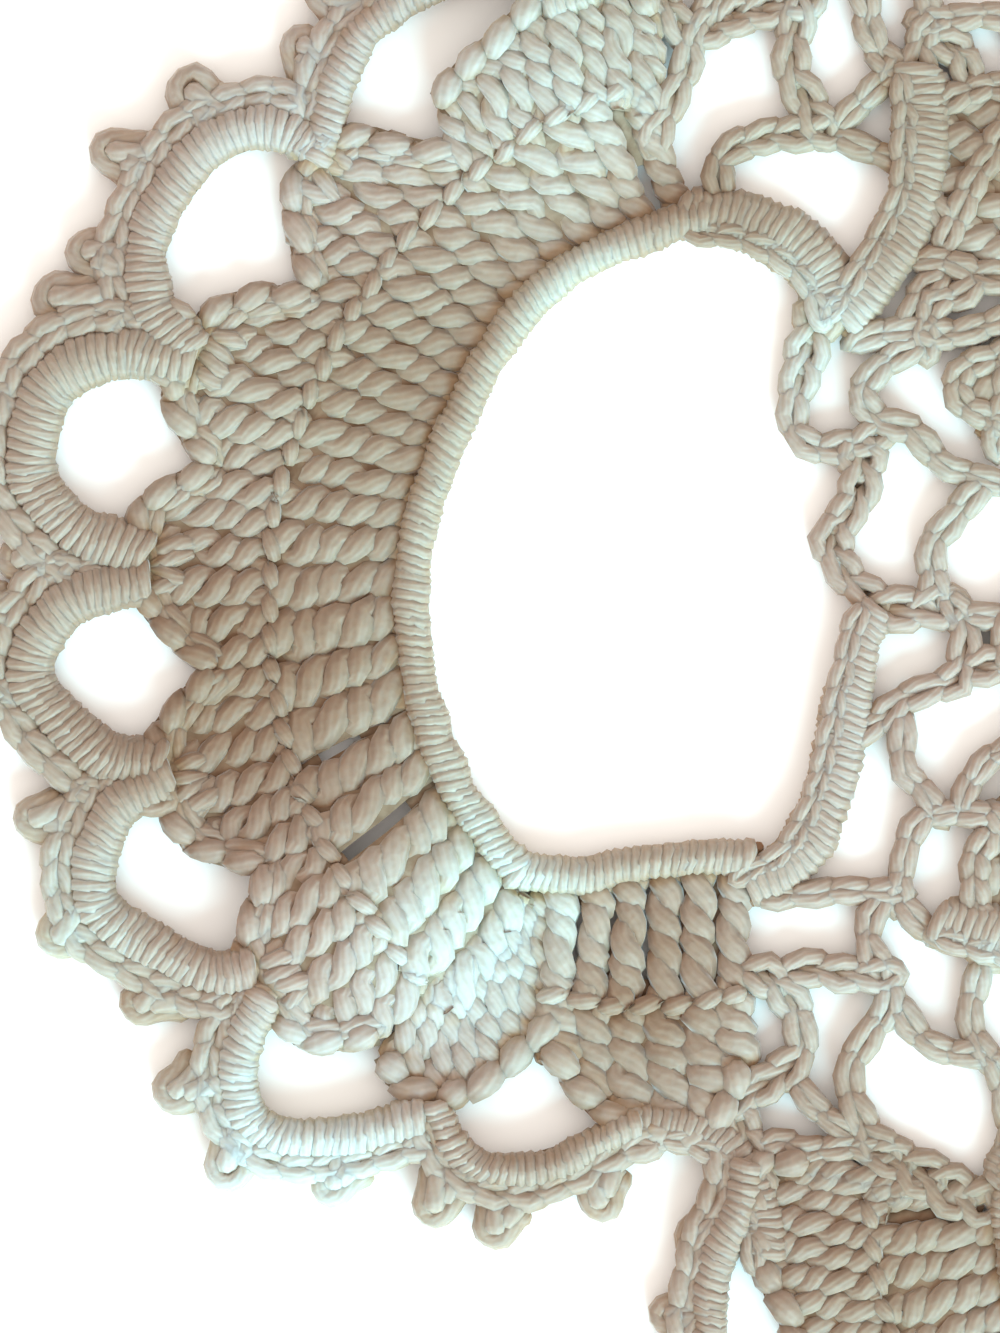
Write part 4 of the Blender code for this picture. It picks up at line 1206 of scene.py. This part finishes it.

# %% [markdown]
# ## The net
#
# The net between a fan and the wheel is irregular: whoever made it hung chains wherever two
# stitches had to be held. A regular grid would never look like it, so its bars are short runs of
# places, with the width of the bar at each. Where a fan meets the next one the net closes the
# corner in one of two ways.

# %% Net: x, y, width
NET = {
    "eye_top": [(-83.0, 26.8, 5.0), (-77.1, 25.8, 5.8), (-72.1, 23.6, 6.2), (-68.8, 20.4, 6.2),
                (-67.4, 17.0, 6.0)],
    "eye_side": [(-68.4, 18.5, 5.6), (-70.4, 13.0, 5.0), (-71.5, 9.5, 4.2), (-72.0, 7.0, 3.4),
                 (-71.4, 4.4, 3.0), (-69.2, 3.2, 3.2), (-66.1, 3.3, 3.6), (-63.1, 4.6, 3.4)],
    "wheel_cord": [(-59.6, 41.0, 5.6), (-59.1, 35.0, 5.6), (-59.6, 29.0, 5.6), (-61.6, 24.0, 5.6),
                   (-64.1, 20.0, 5.6), (-67.1, 16.0, 5.6)],
    "knot_one": [(-65.2, 4.5, 4.8), (-64.9, 1.5, 5.2), (-65.2, -1.5, 4.4)],
    "side_one": [(-65.2, -1.0, 4.4), (-66.4, -3.4, 3.8), (-68.0, -5.6, 4.4), (-67.4, -8.2, 4.2),
                 (-65.9, -10.2, 3.8), (-63.6, -12.0, 4.2)],
    "hook": [(-58.6, 13.5, 3.2), (-62.1, 12.0, 3.2), (-64.7, 9.8, 3.0), (-64.9, 7.6, 3.0),
             (-63.1, 5.8, 3.0), (-60.6, 5.2, 3.2), (-58.6, 3.3, 3.0), (-56.1, 1.0, 2.8),
             (-52.6, 0.0, 2.8), (-49.0, -1.5, 2.8), (-44.5, -3.0, 2.8)],
    "shelf": [(-66.4, 13.6, 2.8), (-63.1, 14.6, 3.0), (-60.0, 15.0, 3.0), (-56.6, 14.4, 3.0),
              (-53.0, 15.2, 3.0), (-50.0, 16.2, 3.0)],
    "curl": [(-60.6, 21.8, 2.6), (-57.6, 22.0, 2.6), (-54.6, 21.0, 2.8), (-53.6, 19.4, 3.0),
             (-55.6, 18.2, 3.0), (-57.8, 17.6, 3.2), (-58.6, 15.6, 3.2), (-58.6, 13.2, 3.2)],
    "curl_leg": [(-56.4, 20.6, 3.0), (-58.8, 18.6, 3.4), (-60.4, 15.4, 3.6)],
    "curl_end": [(-54.6, 20.6, 3.4), (-51.0, 20.0, 4.0), (-46.0, 19.0, 4.0), (-41.0, 17.0, 4.0)],
    "arm": [(-52.2, -0.4, 3.0), (-54.0, -2.0, 3.0), (-55.9, -3.9, 3.0), (-57.5, -5.8, 3.0),
            (-57.9, -7.9, 3.0), (-57.7, -10.0, 3.2), (-57.6, -12.0, 3.4)],
    "knot_two": [(-64.6, -12.3, 4.0), (-60.1, -12.9, 4.8), (-56.1, -12.6, 4.8)],
    "wrist": [(-56.6, -11.0, 3.6), (-54.9, -14.6, 3.6), (-54.8, -17.5, 3.6), (-55.8, -20.0, 3.8),
              (-58.6, -21.0, 3.2), (-61.6, -22.5, 3.4), (-63.3, -24.2, 3.4), (-66.0, -25.6, 3.2)],
    "wrist_link": [(-55.2, -13.5, 3.0), (-52.0, -13.6, 2.6), (-48.0, -14.0, 2.6)],
    "wrist_web": [(-55.0, -19.0, 4.0), (-52.0, -18.6, 4.2), (-48.0, -18.0, 4.4)],
    "strap": [(-63.8, -12.8, 4.4), (-65.1, -16.5, 3.6), (-65.9, -20.5, 4.8), (-67.0, -25.0, 5.6),
              (-68.0, -30.0, 5.0), (-69.5, -34.3, 5.2), (-72.4, -38.2, 5.2), (-76.4, -40.5, 5.0)],
    "loops": [(-60.8, -23.0, 2.6), (-61.1, -26.6, 3.2), (-60.6, -29.4, 2.8), (-59.0, -31.0, 2.8),
              (-57.6, -33.2, 2.6)],
    "foot_chain": [(-76.0, -41.2, 4.0), (-71.1, -41.2, 2.4), (-66.1, -40.9, 2.4),
                   (-61.6, -41.2, 2.8)],
    "stem": [(-51.6, -33.4, 2.6), (-55.1, -33.1, 2.8), (-58.6, -33.6, 2.6), (-60.1, -35.6, 2.6),
             (-60.8, -38.5, 2.6), (-61.6, -42.0, 3.4)],
    "stem_arm": [(-55.1, -33.6, 2.8), (-54.8, -31.0, 2.4), (-53.4, -28.9, 2.4),
                 (-51.0, -27.2, 2.4), (-46.0, -24.6, 2.6), (-40.5, -21.5, 2.6)],
    "side_loop": [(-77.0, -48.8, 3.4), (-73.8, -50.0, 4.2), (-72.0, -52.4, 3.8),
                  (-71.2, -55.0, 3.0), (-71.4, -57.6, 3.6), (-73.4, -59.4, 4.6),
                  (-76.0, -61.2, 4.2), (-78.5, -62.6, 3.4)],
    "side_spur": [(-71.4, -59.2, 2.6), (-69.8, -61.8, 2.4), (-68.1, -63.8, 2.4),
                  (-66.0, -65.2, 3.0)],
    "corner": [(-88.0, -64.2, 4.4), (-82.0, -64.7, 4.6), (-77.4, -68.0, 4.8), (-75.2, -73.4, 4.8),
               (-74.8, -77.5, 5.0)],
    "corner_web": [(-78.0, -62.0, 4.0), (-76.2, -66.5, 4.0), (-75.6, -71.0, 5.0)],
}
print("bars in one net:", len(NET))

# %% Corners of the net
OPEN_CORNER = {
    "beam": [(-82.5, 44.0, 4.6), (-78.1, 46.2, 4.6), (-74.1, 47.1, 4.4), (-70.4, 47.8, 4.2)],
    "beam_leg": [(-71.2, 48.0, 4.2), (-72.2, 41.5, 3.8), (-70.7, 38.0, 4.0), (-68.8, 34.6, 4.2)],
    "bow": [(-79.2, 28.0, 3.8), (-79.5, 31.0, 3.0), (-77.8, 33.0, 3.4), (-74.6, 34.3, 3.8),
            (-71.1, 34.4, 4.0), (-67.4, 34.8, 4.0)],
    "bow_up": [(-67.8, 34.8, 3.2), (-65.4, 37.4, 2.8), (-63.5, 39.6, 2.8), (-61.0, 41.6, 3.0)],
    "bow_down": [(-68.0, 34.6, 2.8), (-65.0, 33.2, 2.6), (-62.4, 32.2, 2.6), (-60.4, 31.0, 3.0)],
    "pillar": [(-60.6, 40.4, 3.4), (-63.2, 42.4, 3.4), (-64.5, 45.5, 3.2), (-64.8, 48.5, 3.2),
               (-66.2, 51.4, 3.0), (-69.4, 53.6, 3.0)],
    "flank": [(-87.1, 50.0, 4.0), (-83.6, 46.0, 3.8), (-82.6, 42.0, 3.6), (-83.9, 38.0, 3.6),
              (-86.0, 33.6, 3.8)],
    "knob": [(-58.6, 44.4, 3.6), (-56.2, 43.4, 4.0), (-54.8, 42.2, 4.0), (-54.4, 40.0, 3.6)],
    "cap": [(-57.6, 46.4, 3.0), (-59.2, 43.6, 3.4), (-59.8, 40.6, 4.0)],
}
CROSSED_CORNER = {
    "leg": [(-62.0, -50.0, 3.4), (-62.7, -53.0, 3.2), (-64.7, -56.0, 3.0), (-66.2, -59.0, 3.0),
            (-65.7, -62.0, 3.2), (-64.6, -64.8, 3.8), (-62.6, -67.4, 4.6)],
    "swag": [(-61.9, -51.8, 3.6), (-60.3, -53.9, 3.0), (-58.1, -56.0, 2.6), (-55.2, -57.2, 2.6),
             (-51.8, -57.6, 3.0), (-50.5, -61.0, 3.4), (-50.0, -66.0, 3.4), (-51.4, -71.0, 3.6)],
    "drop": [(-52.6, -47.5, 3.0), (-53.6, -50.8, 2.4), (-54.3, -53.2, 2.3), (-53.4, -55.6, 2.4),
             (-52.0, -58.0, 2.8)],
    "shelf": [(-75.6, -67.0, 2.6), (-73.0, -65.8, 2.6), (-70.8, -66.8, 2.4), (-66.4, -66.4, 2.8),
              (-63.0, -67.0, 3.4)],
    "sill": [(-64.4, -66.6, 4.0), (-60.1, -68.6, 5.0), (-56.1, -71.0, 5.4), (-52.0, -72.6, 5.0)],
    "arm": [(-61.6, -41.4, 3.4), (-59.6, -44.3, 2.8), (-57.6, -45.5, 2.8), (-54.6, -46.3, 3.0),
            (-51.6, -47.6, 3.6)],
    "elbow": [(-62.4, -41.0, 3.4), (-64.2, -43.6, 2.8), (-64.3, -46.2, 2.8), (-63.4, -48.6, 3.6)],
    "bar": [(-73.0, -49.2, 3.6), (-69.6, -48.8, 4.0), (-66.1, -49.4, 4.2), (-62.4, -49.4, 3.8)],
}
CORNER_KIND = ("open", "crossed", "open", "crossed", "open")
COVERED_BARS = ("eye_top", "wheel_cord", "strap", "corner")
print("bars in a corner:", len(OPEN_CORNER), "or", len(CROSSED_CORNER))

# %% [markdown]
# ## Bars of the net
#
# Most bars of the net are plain chains. The few wide ones are covered cords: wraps all round and a
# chain ridge on them near one side. Both fill the width that is written beside each place, so a
# bar swells and narrows along its way as the real one does.

# %% Bars of the net
BAR_TALL, BAR_MIDDLE = 0.85, 1.7   # half the height of a wrap, height of its middle, mm
BAR_SPILL = 0.5                    # mm that the wraps make a covered bar wider
BAR_RIDGE_INSET = 1.45             # mm from its edge to the middle of its ridge
BAR_RIDGE = {"half": 0.70, "rise": 2.4, "stitch": 2.9, "yarn": 0.78, "height": 0.3}


def covered_bar(basket, stations, turn):
    """Wraps over the whole bar, with a chain ridge along the right side of its line."""
    line = Line(stations)
    half = (float(np.mean(line.width)) + BAR_SPILL) / 2
    wraps(basket, line, None, BAR_TALL, BAR_MIDDLE, turn)
    chain(basket, Line(stations, BAR_RIDGE_INSET - half), turn=turn, **BAR_RIDGE)


def add_bars(basket, bars, turn):
    for name, stations in bars.items():
        if name in COVERED_BARS:
            covered_bar(basket, stations, turn)
        else:
            chain(basket, Line(stations), turn=turn)


print("covered bars:", *COVERED_BARS)

# %% [markdown]
# ## The wheel
#
# The middle of the doily is a wheel: a covered ring, spokes, a second ring and two rows of
# trebles. It is worked in the round, so every line here is a circle, and the helpers of the fan do
# it all. Its posts are seldom looked at from near, so they have fewer points.

# %% Rings, rows and spokes
WHEEL_HUB = 11.5
HUB_RING, RIM_RING = 3.2, 21.0     # radii of the two covered rings
# Of each covered ring: radius, half width, half height, height of its middle.
WHEEL_CORDS = ((HUB_RING, 0.8, 0.8, 1.75), (RIM_RING, 0.8, 0.95, 1.85))
WHEEL_RIM = (19.5, 22.5)
WHEEL_ROW, WHEEL_EDGE = 32.0, 41.5
HUB_ROW = HUB_RING + 1.2           # where the hub's posts start
# Of each row of posts: inner and outer radius, how many.
WHEEL_ROWS = ((HUB_ROW, WHEEL_HUB, 13), (WHEEL_RIM[1], WHEEL_ROW, 46),
              (WHEEL_ROW, WHEEL_EDGE, 62))
WHEEL_TOPS = {"half": 0.80, "rise": 1.5, "stitch": 2.9}
WHEEL_STEPS = 6                    # points in a full turn of a post's twist
CIRCLE_STEPS = 48
SPOKE_COUNT, SPOKE_SPREAD, SPOKE_RISE = 15, (2.6, 2.6), 1.3


def circle(radius):
    return Line([polar(radius, 360.0 * i / CIRCLE_STEPS) for i in range(CIRCLE_STEPS + 1)])


def add_wheel(basket):
    for radius, half, tall, rise in WHEEL_CORDS:
        wraps(basket, circle(radius), half, tall, rise)
    for inner, outer, count in WHEEL_ROWS:
        row_of_posts(basket, circle(inner), circle(outer), count, steps=WHEEL_STEPS)
        chain(basket, circle(outer), **WHEEL_TOPS)
    for spoke in range(SPOKE_COUNT):
        angle = 360.0 * (spoke + 0.5) / SPOKE_COUNT
        post(basket, polar(WHEEL_HUB, angle), polar(WHEEL_RIM[0], angle), SPOKE_SPREAD,
             rise=SPOKE_RISE)


print("wheel, mm across without its petals:", 2 * WHEEL_EDGE)

# %% [markdown]
# ## Petals of the wheel
#
# Round the wheel stand three kinds of petals, one set to each fan, which reach into the net. A
# petal is a stack of short rows that narrow towards its tip. Cutting them out of a full round of
# posts would leave half stitches at the edges; here each row gets as many whole posts as it has
# room for, and the last one is bent over to close the tip.

# %% Petals of the wheel
# Middle angle, then radius and half angle of each corner.
WHEEL_PETALS = {
    "long": (148.5, [(40.5, 11.0), (57.0, 10.2), (66.0, 7.0), (69.5, 3.0)]),
    "middle": (170.0, [(40.5, 9.5), (49.5, 7.5), (54.0, 4.5), (57.5, 2.0)]),
    "short": (199.0, [(40.5, 9.5), (49.0, 7.6), (54.0, 4.0)]),
}
WHEEL_ROW_HEIGHT = 10.0
LAST_ROW = 4.0                     # mm from the tip within which no new row starts
TIP_INSET, TIP_DROP = 0.8, 6.0     # mm; how far the sides of the last row fall back
ROW_PLACES = 7                     # places on each line of a row
WHEEL_POST_WIDTH, FEWEST_POSTS = 3.5, 3
WHEEL_PETAL_TOPS = {"half": 0.80, "rise": 1.5, "stitch": 2.7}


def petal_row_line(corners, middle, radius, drop):
    """Line across a petal of the wheel; drop is how far it bends inwards at its ends."""
    radii, halves = zip(*corners)
    edge = halves[-2] if drop else np.interp(radius, radii, halves)
    return Line([polar(radius - drop * share ** 2, middle + edge * share)
                 for share in np.linspace(-1.0, 1.0, ROW_PLACES)])


def add_wheel_petals(basket, turn):
    for middle, corners in WHEEL_PETALS.values():
        tip = corners[-1][0]
        levels = [WHEEL_EDGE, *np.arange(WHEEL_EDGE + WHEEL_ROW_HEIGHT, tip - LAST_ROW,
                                         WHEEL_ROW_HEIGHT), tip - TIP_INSET]
        for inner, outer in zip(levels, levels[1:]):
            feet = petal_row_line(corners, middle, inner, 0.0)
            heads = petal_row_line(corners, middle, outer, TIP_DROP if outer == levels[-1] else 0.0)
            count = max(int(round(feet.length / WHEEL_POST_WIDTH)), FEWEST_POSTS)
            row_of_posts(basket, feet, heads, count, turn, steps=WHEEL_STEPS)
            chain(basket, heads, turn=turn, **WHEEL_PETAL_TOPS)


print("kinds of petals round the wheel:", len(WHEEL_PETALS))

# %% [markdown]
# ## Cotton
#
# Crochet cotton is two or three plies twisted hard, with a soft sheen along them and a few fine
# hairs. Light goes a little way into it, so its shadows stay soft. The plies are a bump that runs
# slantwise in the UV map, and the grooves between them get a little painted shade. Its colour is
# an even cream, but deep in the work the light has gone from strand to strand and comes back
# brown, and that shade is painted into the colour. Years on a table have left some parts rosier,
# some yellower and some bleached; the pale and the brown patches also carry painted highlight and
# painted shade.

# %% Helpers for node trees
def add_node(tree, kind, **values):
    node = tree.nodes.new(kind)
    for name, value in values.items():
        setattr(node, name, value)
    return node


def math_node(tree, operation, first, second):
    """A Math node; each input is a socket or a number."""
    node = add_node(tree, "ShaderNodeMath", operation=operation)
    for index, value in enumerate((first, second)):
        if isinstance(value, (int, float)):
            node.inputs[index].default_value = value
        else:
            tree.links.new(value, node.inputs[index])
    return node.outputs[0]


def ramp(tree, factor, first, second, start=0.0, end=1.0):
    node = add_node(tree, "ShaderNodeValToRGB")
    node.color_ramp.elements[0].position, node.color_ramp.elements[1].position = start, end
    node.color_ramp.elements[0].color = (*first, 1.0)
    node.color_ramp.elements[1].color = (*second, 1.0)
    tree.links.new(factor, node.inputs[0])
    return node.outputs[0]


def multiplied(tree, first, second):
    node = add_node(tree, "ShaderNodeMix", data_type="RGBA", blend_type="MULTIPLY")
    node.inputs[0].default_value = 1.0
    tree.links.new(first, node.inputs[6])
    tree.links.new(second, node.inputs[7])
    return node.outputs[2]


def noise_node(tree, vector, scale, detail=2.0):
    node = add_node(tree, "ShaderNodeTexNoise")
    node.inputs["Scale"].default_value = scale
    node.inputs["Detail"].default_value = detail
    tree.links.new(vector, node.inputs["Vector"])
    return node.outputs[0]


def bump_up(tree, height, strength, distance):
    """Bump from a height, into the shader's normal."""
    bump = add_node(tree, "ShaderNodeBump")
    bump.inputs["Strength"].default_value = strength
    bump.inputs["Distance"].default_value = distance
    tree.links.new(height, bump.inputs["Height"])
    tree.links.new(bump.outputs[0], tree.nodes["Principled BSDF"].inputs["Normal"])


def new_material(name, finish):
    """A material with a Principled shader, and the shader's plain values."""
    material = bpy.data.materials.new(name)
    material.use_nodes = True
    for socket, value in finish.items():
        material.node_tree.nodes["Principled BSDF"].inputs[socket].default_value = value
    return material


helpers = (add_node, math_node, ramp, multiplied, noise_node, bump_up, new_material)
print("helpers:", ", ".join(helper.__name__ for helper in helpers))

# %% Colours and finish of the cotton
CREAM = (0.313, 0.266, 0.237)
# Brown painted shade, deep in the crevices of the work.
CREVICE_SHADE = (0.27, 0.178, 0.104)
CREVICE_START, CREVICE_END = 0.24, 0.95  # depths between which cream becomes painted crevice shade
ROSY = (0.98, 0.87, 0.80)
STRAW = (0.97, 0.95, 0.83)
BLEACH_AND_HIGHLIGHT = (1.35, 1.80, 2.10)      # the cream of the palest patches, times this: bleaching and a painted cool highlight
TEA_AND_SHADE = (0.68, 0.53, 0.42)           # the cream of the brownest patches, times this: tea stain and painted shade
WHOLE = (1.0, 1.0, 1.0)
FLECK = (0.90, 0.90, 0.90)
# Painted shade in the grooves between two plies.
PLY_GROOVE_SHADE = (0.93, 0.90, 0.87)        # between two plies
TONE_SCALE, FLECK_SCALE, SWELL_SCALE, FIBRE_SCALE = 22.0, 900.0, 800.0, 2600.0
SWELL_HEIGHT, FIBRE_HEIGHT = 4.5, 0.5    # beside the height of a ply
PLY_COUNT = 9.0
PLY_LENGTH = 2.2                   # mm from one ply to the next along the yarn
PLY_BUMP = {"strength": 0.42, "distance": 0.00009}
COTTON_FINISH = {
    "Roughness": 0.62, "Specular IOR Level": 0.45, "Sheen Weight": 0.25, "Sheen Roughness": 0.45,
    "Subsurface Weight": 0.35, "Subsurface Radius": (1.0, 0.62, 0.36),
    "Subsurface Scale": 0.0011,
}
print("cream:", CREAM, " in a crevice:", CREVICE_SHADE)

# %% Cotton material
def patch_tone(tree):
    """Factor from tea brown with painted shade over even cream to bleached with painted highlight.
    """
    patch = add_node(tree, "ShaderNodeAttribute", attribute_name="patch").outputs["Fac"]
    node = add_node(tree, "ShaderNodeValToRGB")
    node.color_ramp.elements[0].color = (*TEA_AND_SHADE, 1.0)
    node.color_ramp.elements[1].color = (*BLEACH_AND_HIGHLIGHT, 1.0)
    node.color_ramp.elements.new(0.5).color = (*WHOLE, 1.0)
    tree.links.new(patch, node.inputs[0])
    return node.outputs[0]


def plies(tree):
    """Height of the twisted plies, 0 to 1, slantwise in the UV map."""
    along = add_node(tree, "ShaderNodeUVMap", uv_map="UVMap").outputs[0]
    split = add_node(tree, "ShaderNodeSeparateXYZ")
    tree.links.new(along, split.inputs[0])
    around = math_node(tree, "MULTIPLY", split.outputs[1], PLY_COUNT)
    lay = math_node(tree, "DIVIDE", split.outputs[0], PLY_LENGTH)
    angle = math_node(tree, "MULTIPLY", math_node(tree, "ADD", around, lay), math.tau)
    ply = math_node(tree, "MULTIPLY_ADD", math_node(tree, "COSINE", angle, 0.0), 0.5)
    ply.node.inputs[2].default_value = 0.5
    return ply


def cotton():
    material = new_material("cream_cotton_yarn", COTTON_FINISH)
    tree = material.node_tree
    place = add_node(tree, "ShaderNodeTexCoord").outputs["Object"]
    ply = plies(tree)
    crevice = add_node(tree, "ShaderNodeAttribute", attribute_name="crevice").outputs["Fac"]
    # Painted shade: cream turns brown with the depth in a crevice.
    body = ramp(tree, crevice, CREAM, CREVICE_SHADE, CREVICE_START, CREVICE_END)
    tone = ramp(tree, noise_node(tree, place, TONE_SCALE, 1.0), ROSY, STRAW, 0.35, 0.65)
    fleck = ramp(tree, noise_node(tree, place, FLECK_SCALE), FLECK, WHOLE, 0.3, 0.6)
    # Painted shade in the grooves between the plies.
    ply_groove_shade = ramp(tree, ply, PLY_GROOVE_SHADE, WHOLE, 0.0, 0.6)
    colour = multiplied(tree, multiplied(tree, body, tone), multiplied(tree, fleck, ply_groove_shade))
    # Patches: stains and bleaching, with painted highlight and painted shade in them.
    colour = multiplied(tree, colour, patch_tone(tree))
    tree.links.new(colour, tree.nodes["Principled BSDF"].inputs["Base Color"])

    fibre = math_node(tree, "MULTIPLY", noise_node(tree, place, FIBRE_SCALE, 1.0), FIBRE_HEIGHT)
    swollen = math_node(tree, "MULTIPLY", noise_node(tree, place, SWELL_SCALE, 1.0), SWELL_HEIGHT)
    height = math_node(tree, "ADD", math_node(tree, "ADD", ply, fibre), swollen)
    bump_up(tree, height, **PLY_BUMP)
    return material


yarn_material = cotton()
print("material:", yarn_material.name)

# %% [markdown]
# ## What lies behind
#
# The bands stand for yarn that is pressed between the stitches and hardly gets any light, so their
# dark brown is painted shade on the same cream yarn. Plain brown would look like cardboard in the
# wider glimpses, so short streaks of noise, lighter and darker, give a hint of strands, in the
# colour and in the bump. They go paler and browner with the same patches as the yarn over them.

# %% Material of what lies behind
# Painted shade: the same cream yarn, coloured dark brown because little light reaches it.
SHADED_HEART_DARK = (0.15, 0.092, 0.052)
SHADED_HEART_LIGHT = (0.23, 0.16, 0.105)
STREAK_SCALE, STREAK_DETAIL = 520.0, 3.0
STREAK_BUMP = {"strength": 0.8, "distance": 0.0005}


def shaded_pressed_yarn():
    """Brown glimpses of yarn in painted shade: short streaks, lighter and darker."""
    material = new_material("shaded_pressed_yarn", {"Roughness": 0.85})
    tree = material.node_tree
    place = add_node(tree, "ShaderNodeTexCoord").outputs["Object"]
    streak = noise_node(tree, place, STREAK_SCALE, STREAK_DETAIL)
    colour = multiplied(tree, ramp(tree, streak, SHADED_HEART_DARK, SHADED_HEART_LIGHT, 0.35, 0.65),
                        patch_tone(tree))
    tree.links.new(colour, tree.nodes["Principled BSDF"].inputs["Base Color"])
    bump_up(tree, streak, **STREAK_BUMP)
    return material


ground_material = shaded_pressed_yarn()
print("material:", ground_material.name)

# %% [markdown]
# ## Putting the doily together
#
# One mesh for the whole doily would be too heavy to handle, so it is made as seven pieces: five
# fans, the net and the wheel. The yarn runs on from one to the next, as it does in the real one.
# The fans aren't copies of one mesh: each is drawn again, so that no two have the same stitches.


def finish_piece(basket):
    mesh = yarn_mesh(basket)
    mesh.materials.clear()
    mesh.materials.append(yarn_material)
    piece = bpy.data.objects.new(basket.name, mesh)
    bpy.context.scene.collection.objects.link(piece)
    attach(piece, "root")
    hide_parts("lace_doily")
    mesh.calc_loop_triangles()
    print(basket.name, "strands:", len(basket.strands), "triangles:", len(mesh.loop_triangles))


for fan in range(FAN_COUNT):
    basket = Basket(f"fan_{fan + 1}")
    turn = fan * FAN_TURN
    add_rim(basket, turn)
    add_first_row(basket, turn)
    add_petals(basket, turn)
    add_end_petals(basket, turn)
    add_arches(basket, turn)
    finish_piece(basket)

# %% Net and wheel
net = Basket("chain_net")
for fan in range(FAN_COUNT):
    add_bars(net, NET, fan * FAN_TURN)
    if CORNER_KIND[fan] == "open":
        add_bars(net, OPEN_CORNER, fan * FAN_TURN)
    else:
        add_bars(net, CROSSED_CORNER, (fan - 1) * FAN_TURN)
finish_piece(net)

wheel = Basket("wheel")
add_wheel(wheel)
for fan in range(FAN_COUNT):
    add_wheel_petals(wheel, fan * FAN_TURN)
finish_piece(wheel)

# %% [markdown]
# ## The ground as a sheet of cloth
#
# The bands are the sheet of cloth, and the yarn pieces are attached to the same body. A round
# thing isn't cut from a rectangle, and much of the doily is gaps, so the flat area of the bands
# is printed.

ground_mesh = behind.mesh()
ground_mesh.materials.append(ground_material)
ground = bpy.data.objects.new("doily_ground", ground_mesh)
bpy.context.scene.collection.objects.link(ground)
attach(ground, "root")
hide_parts("lace_doily")
print("ground, square metres:", round(sum(face.area for face in ground_mesh.polygons) / 2, 4))
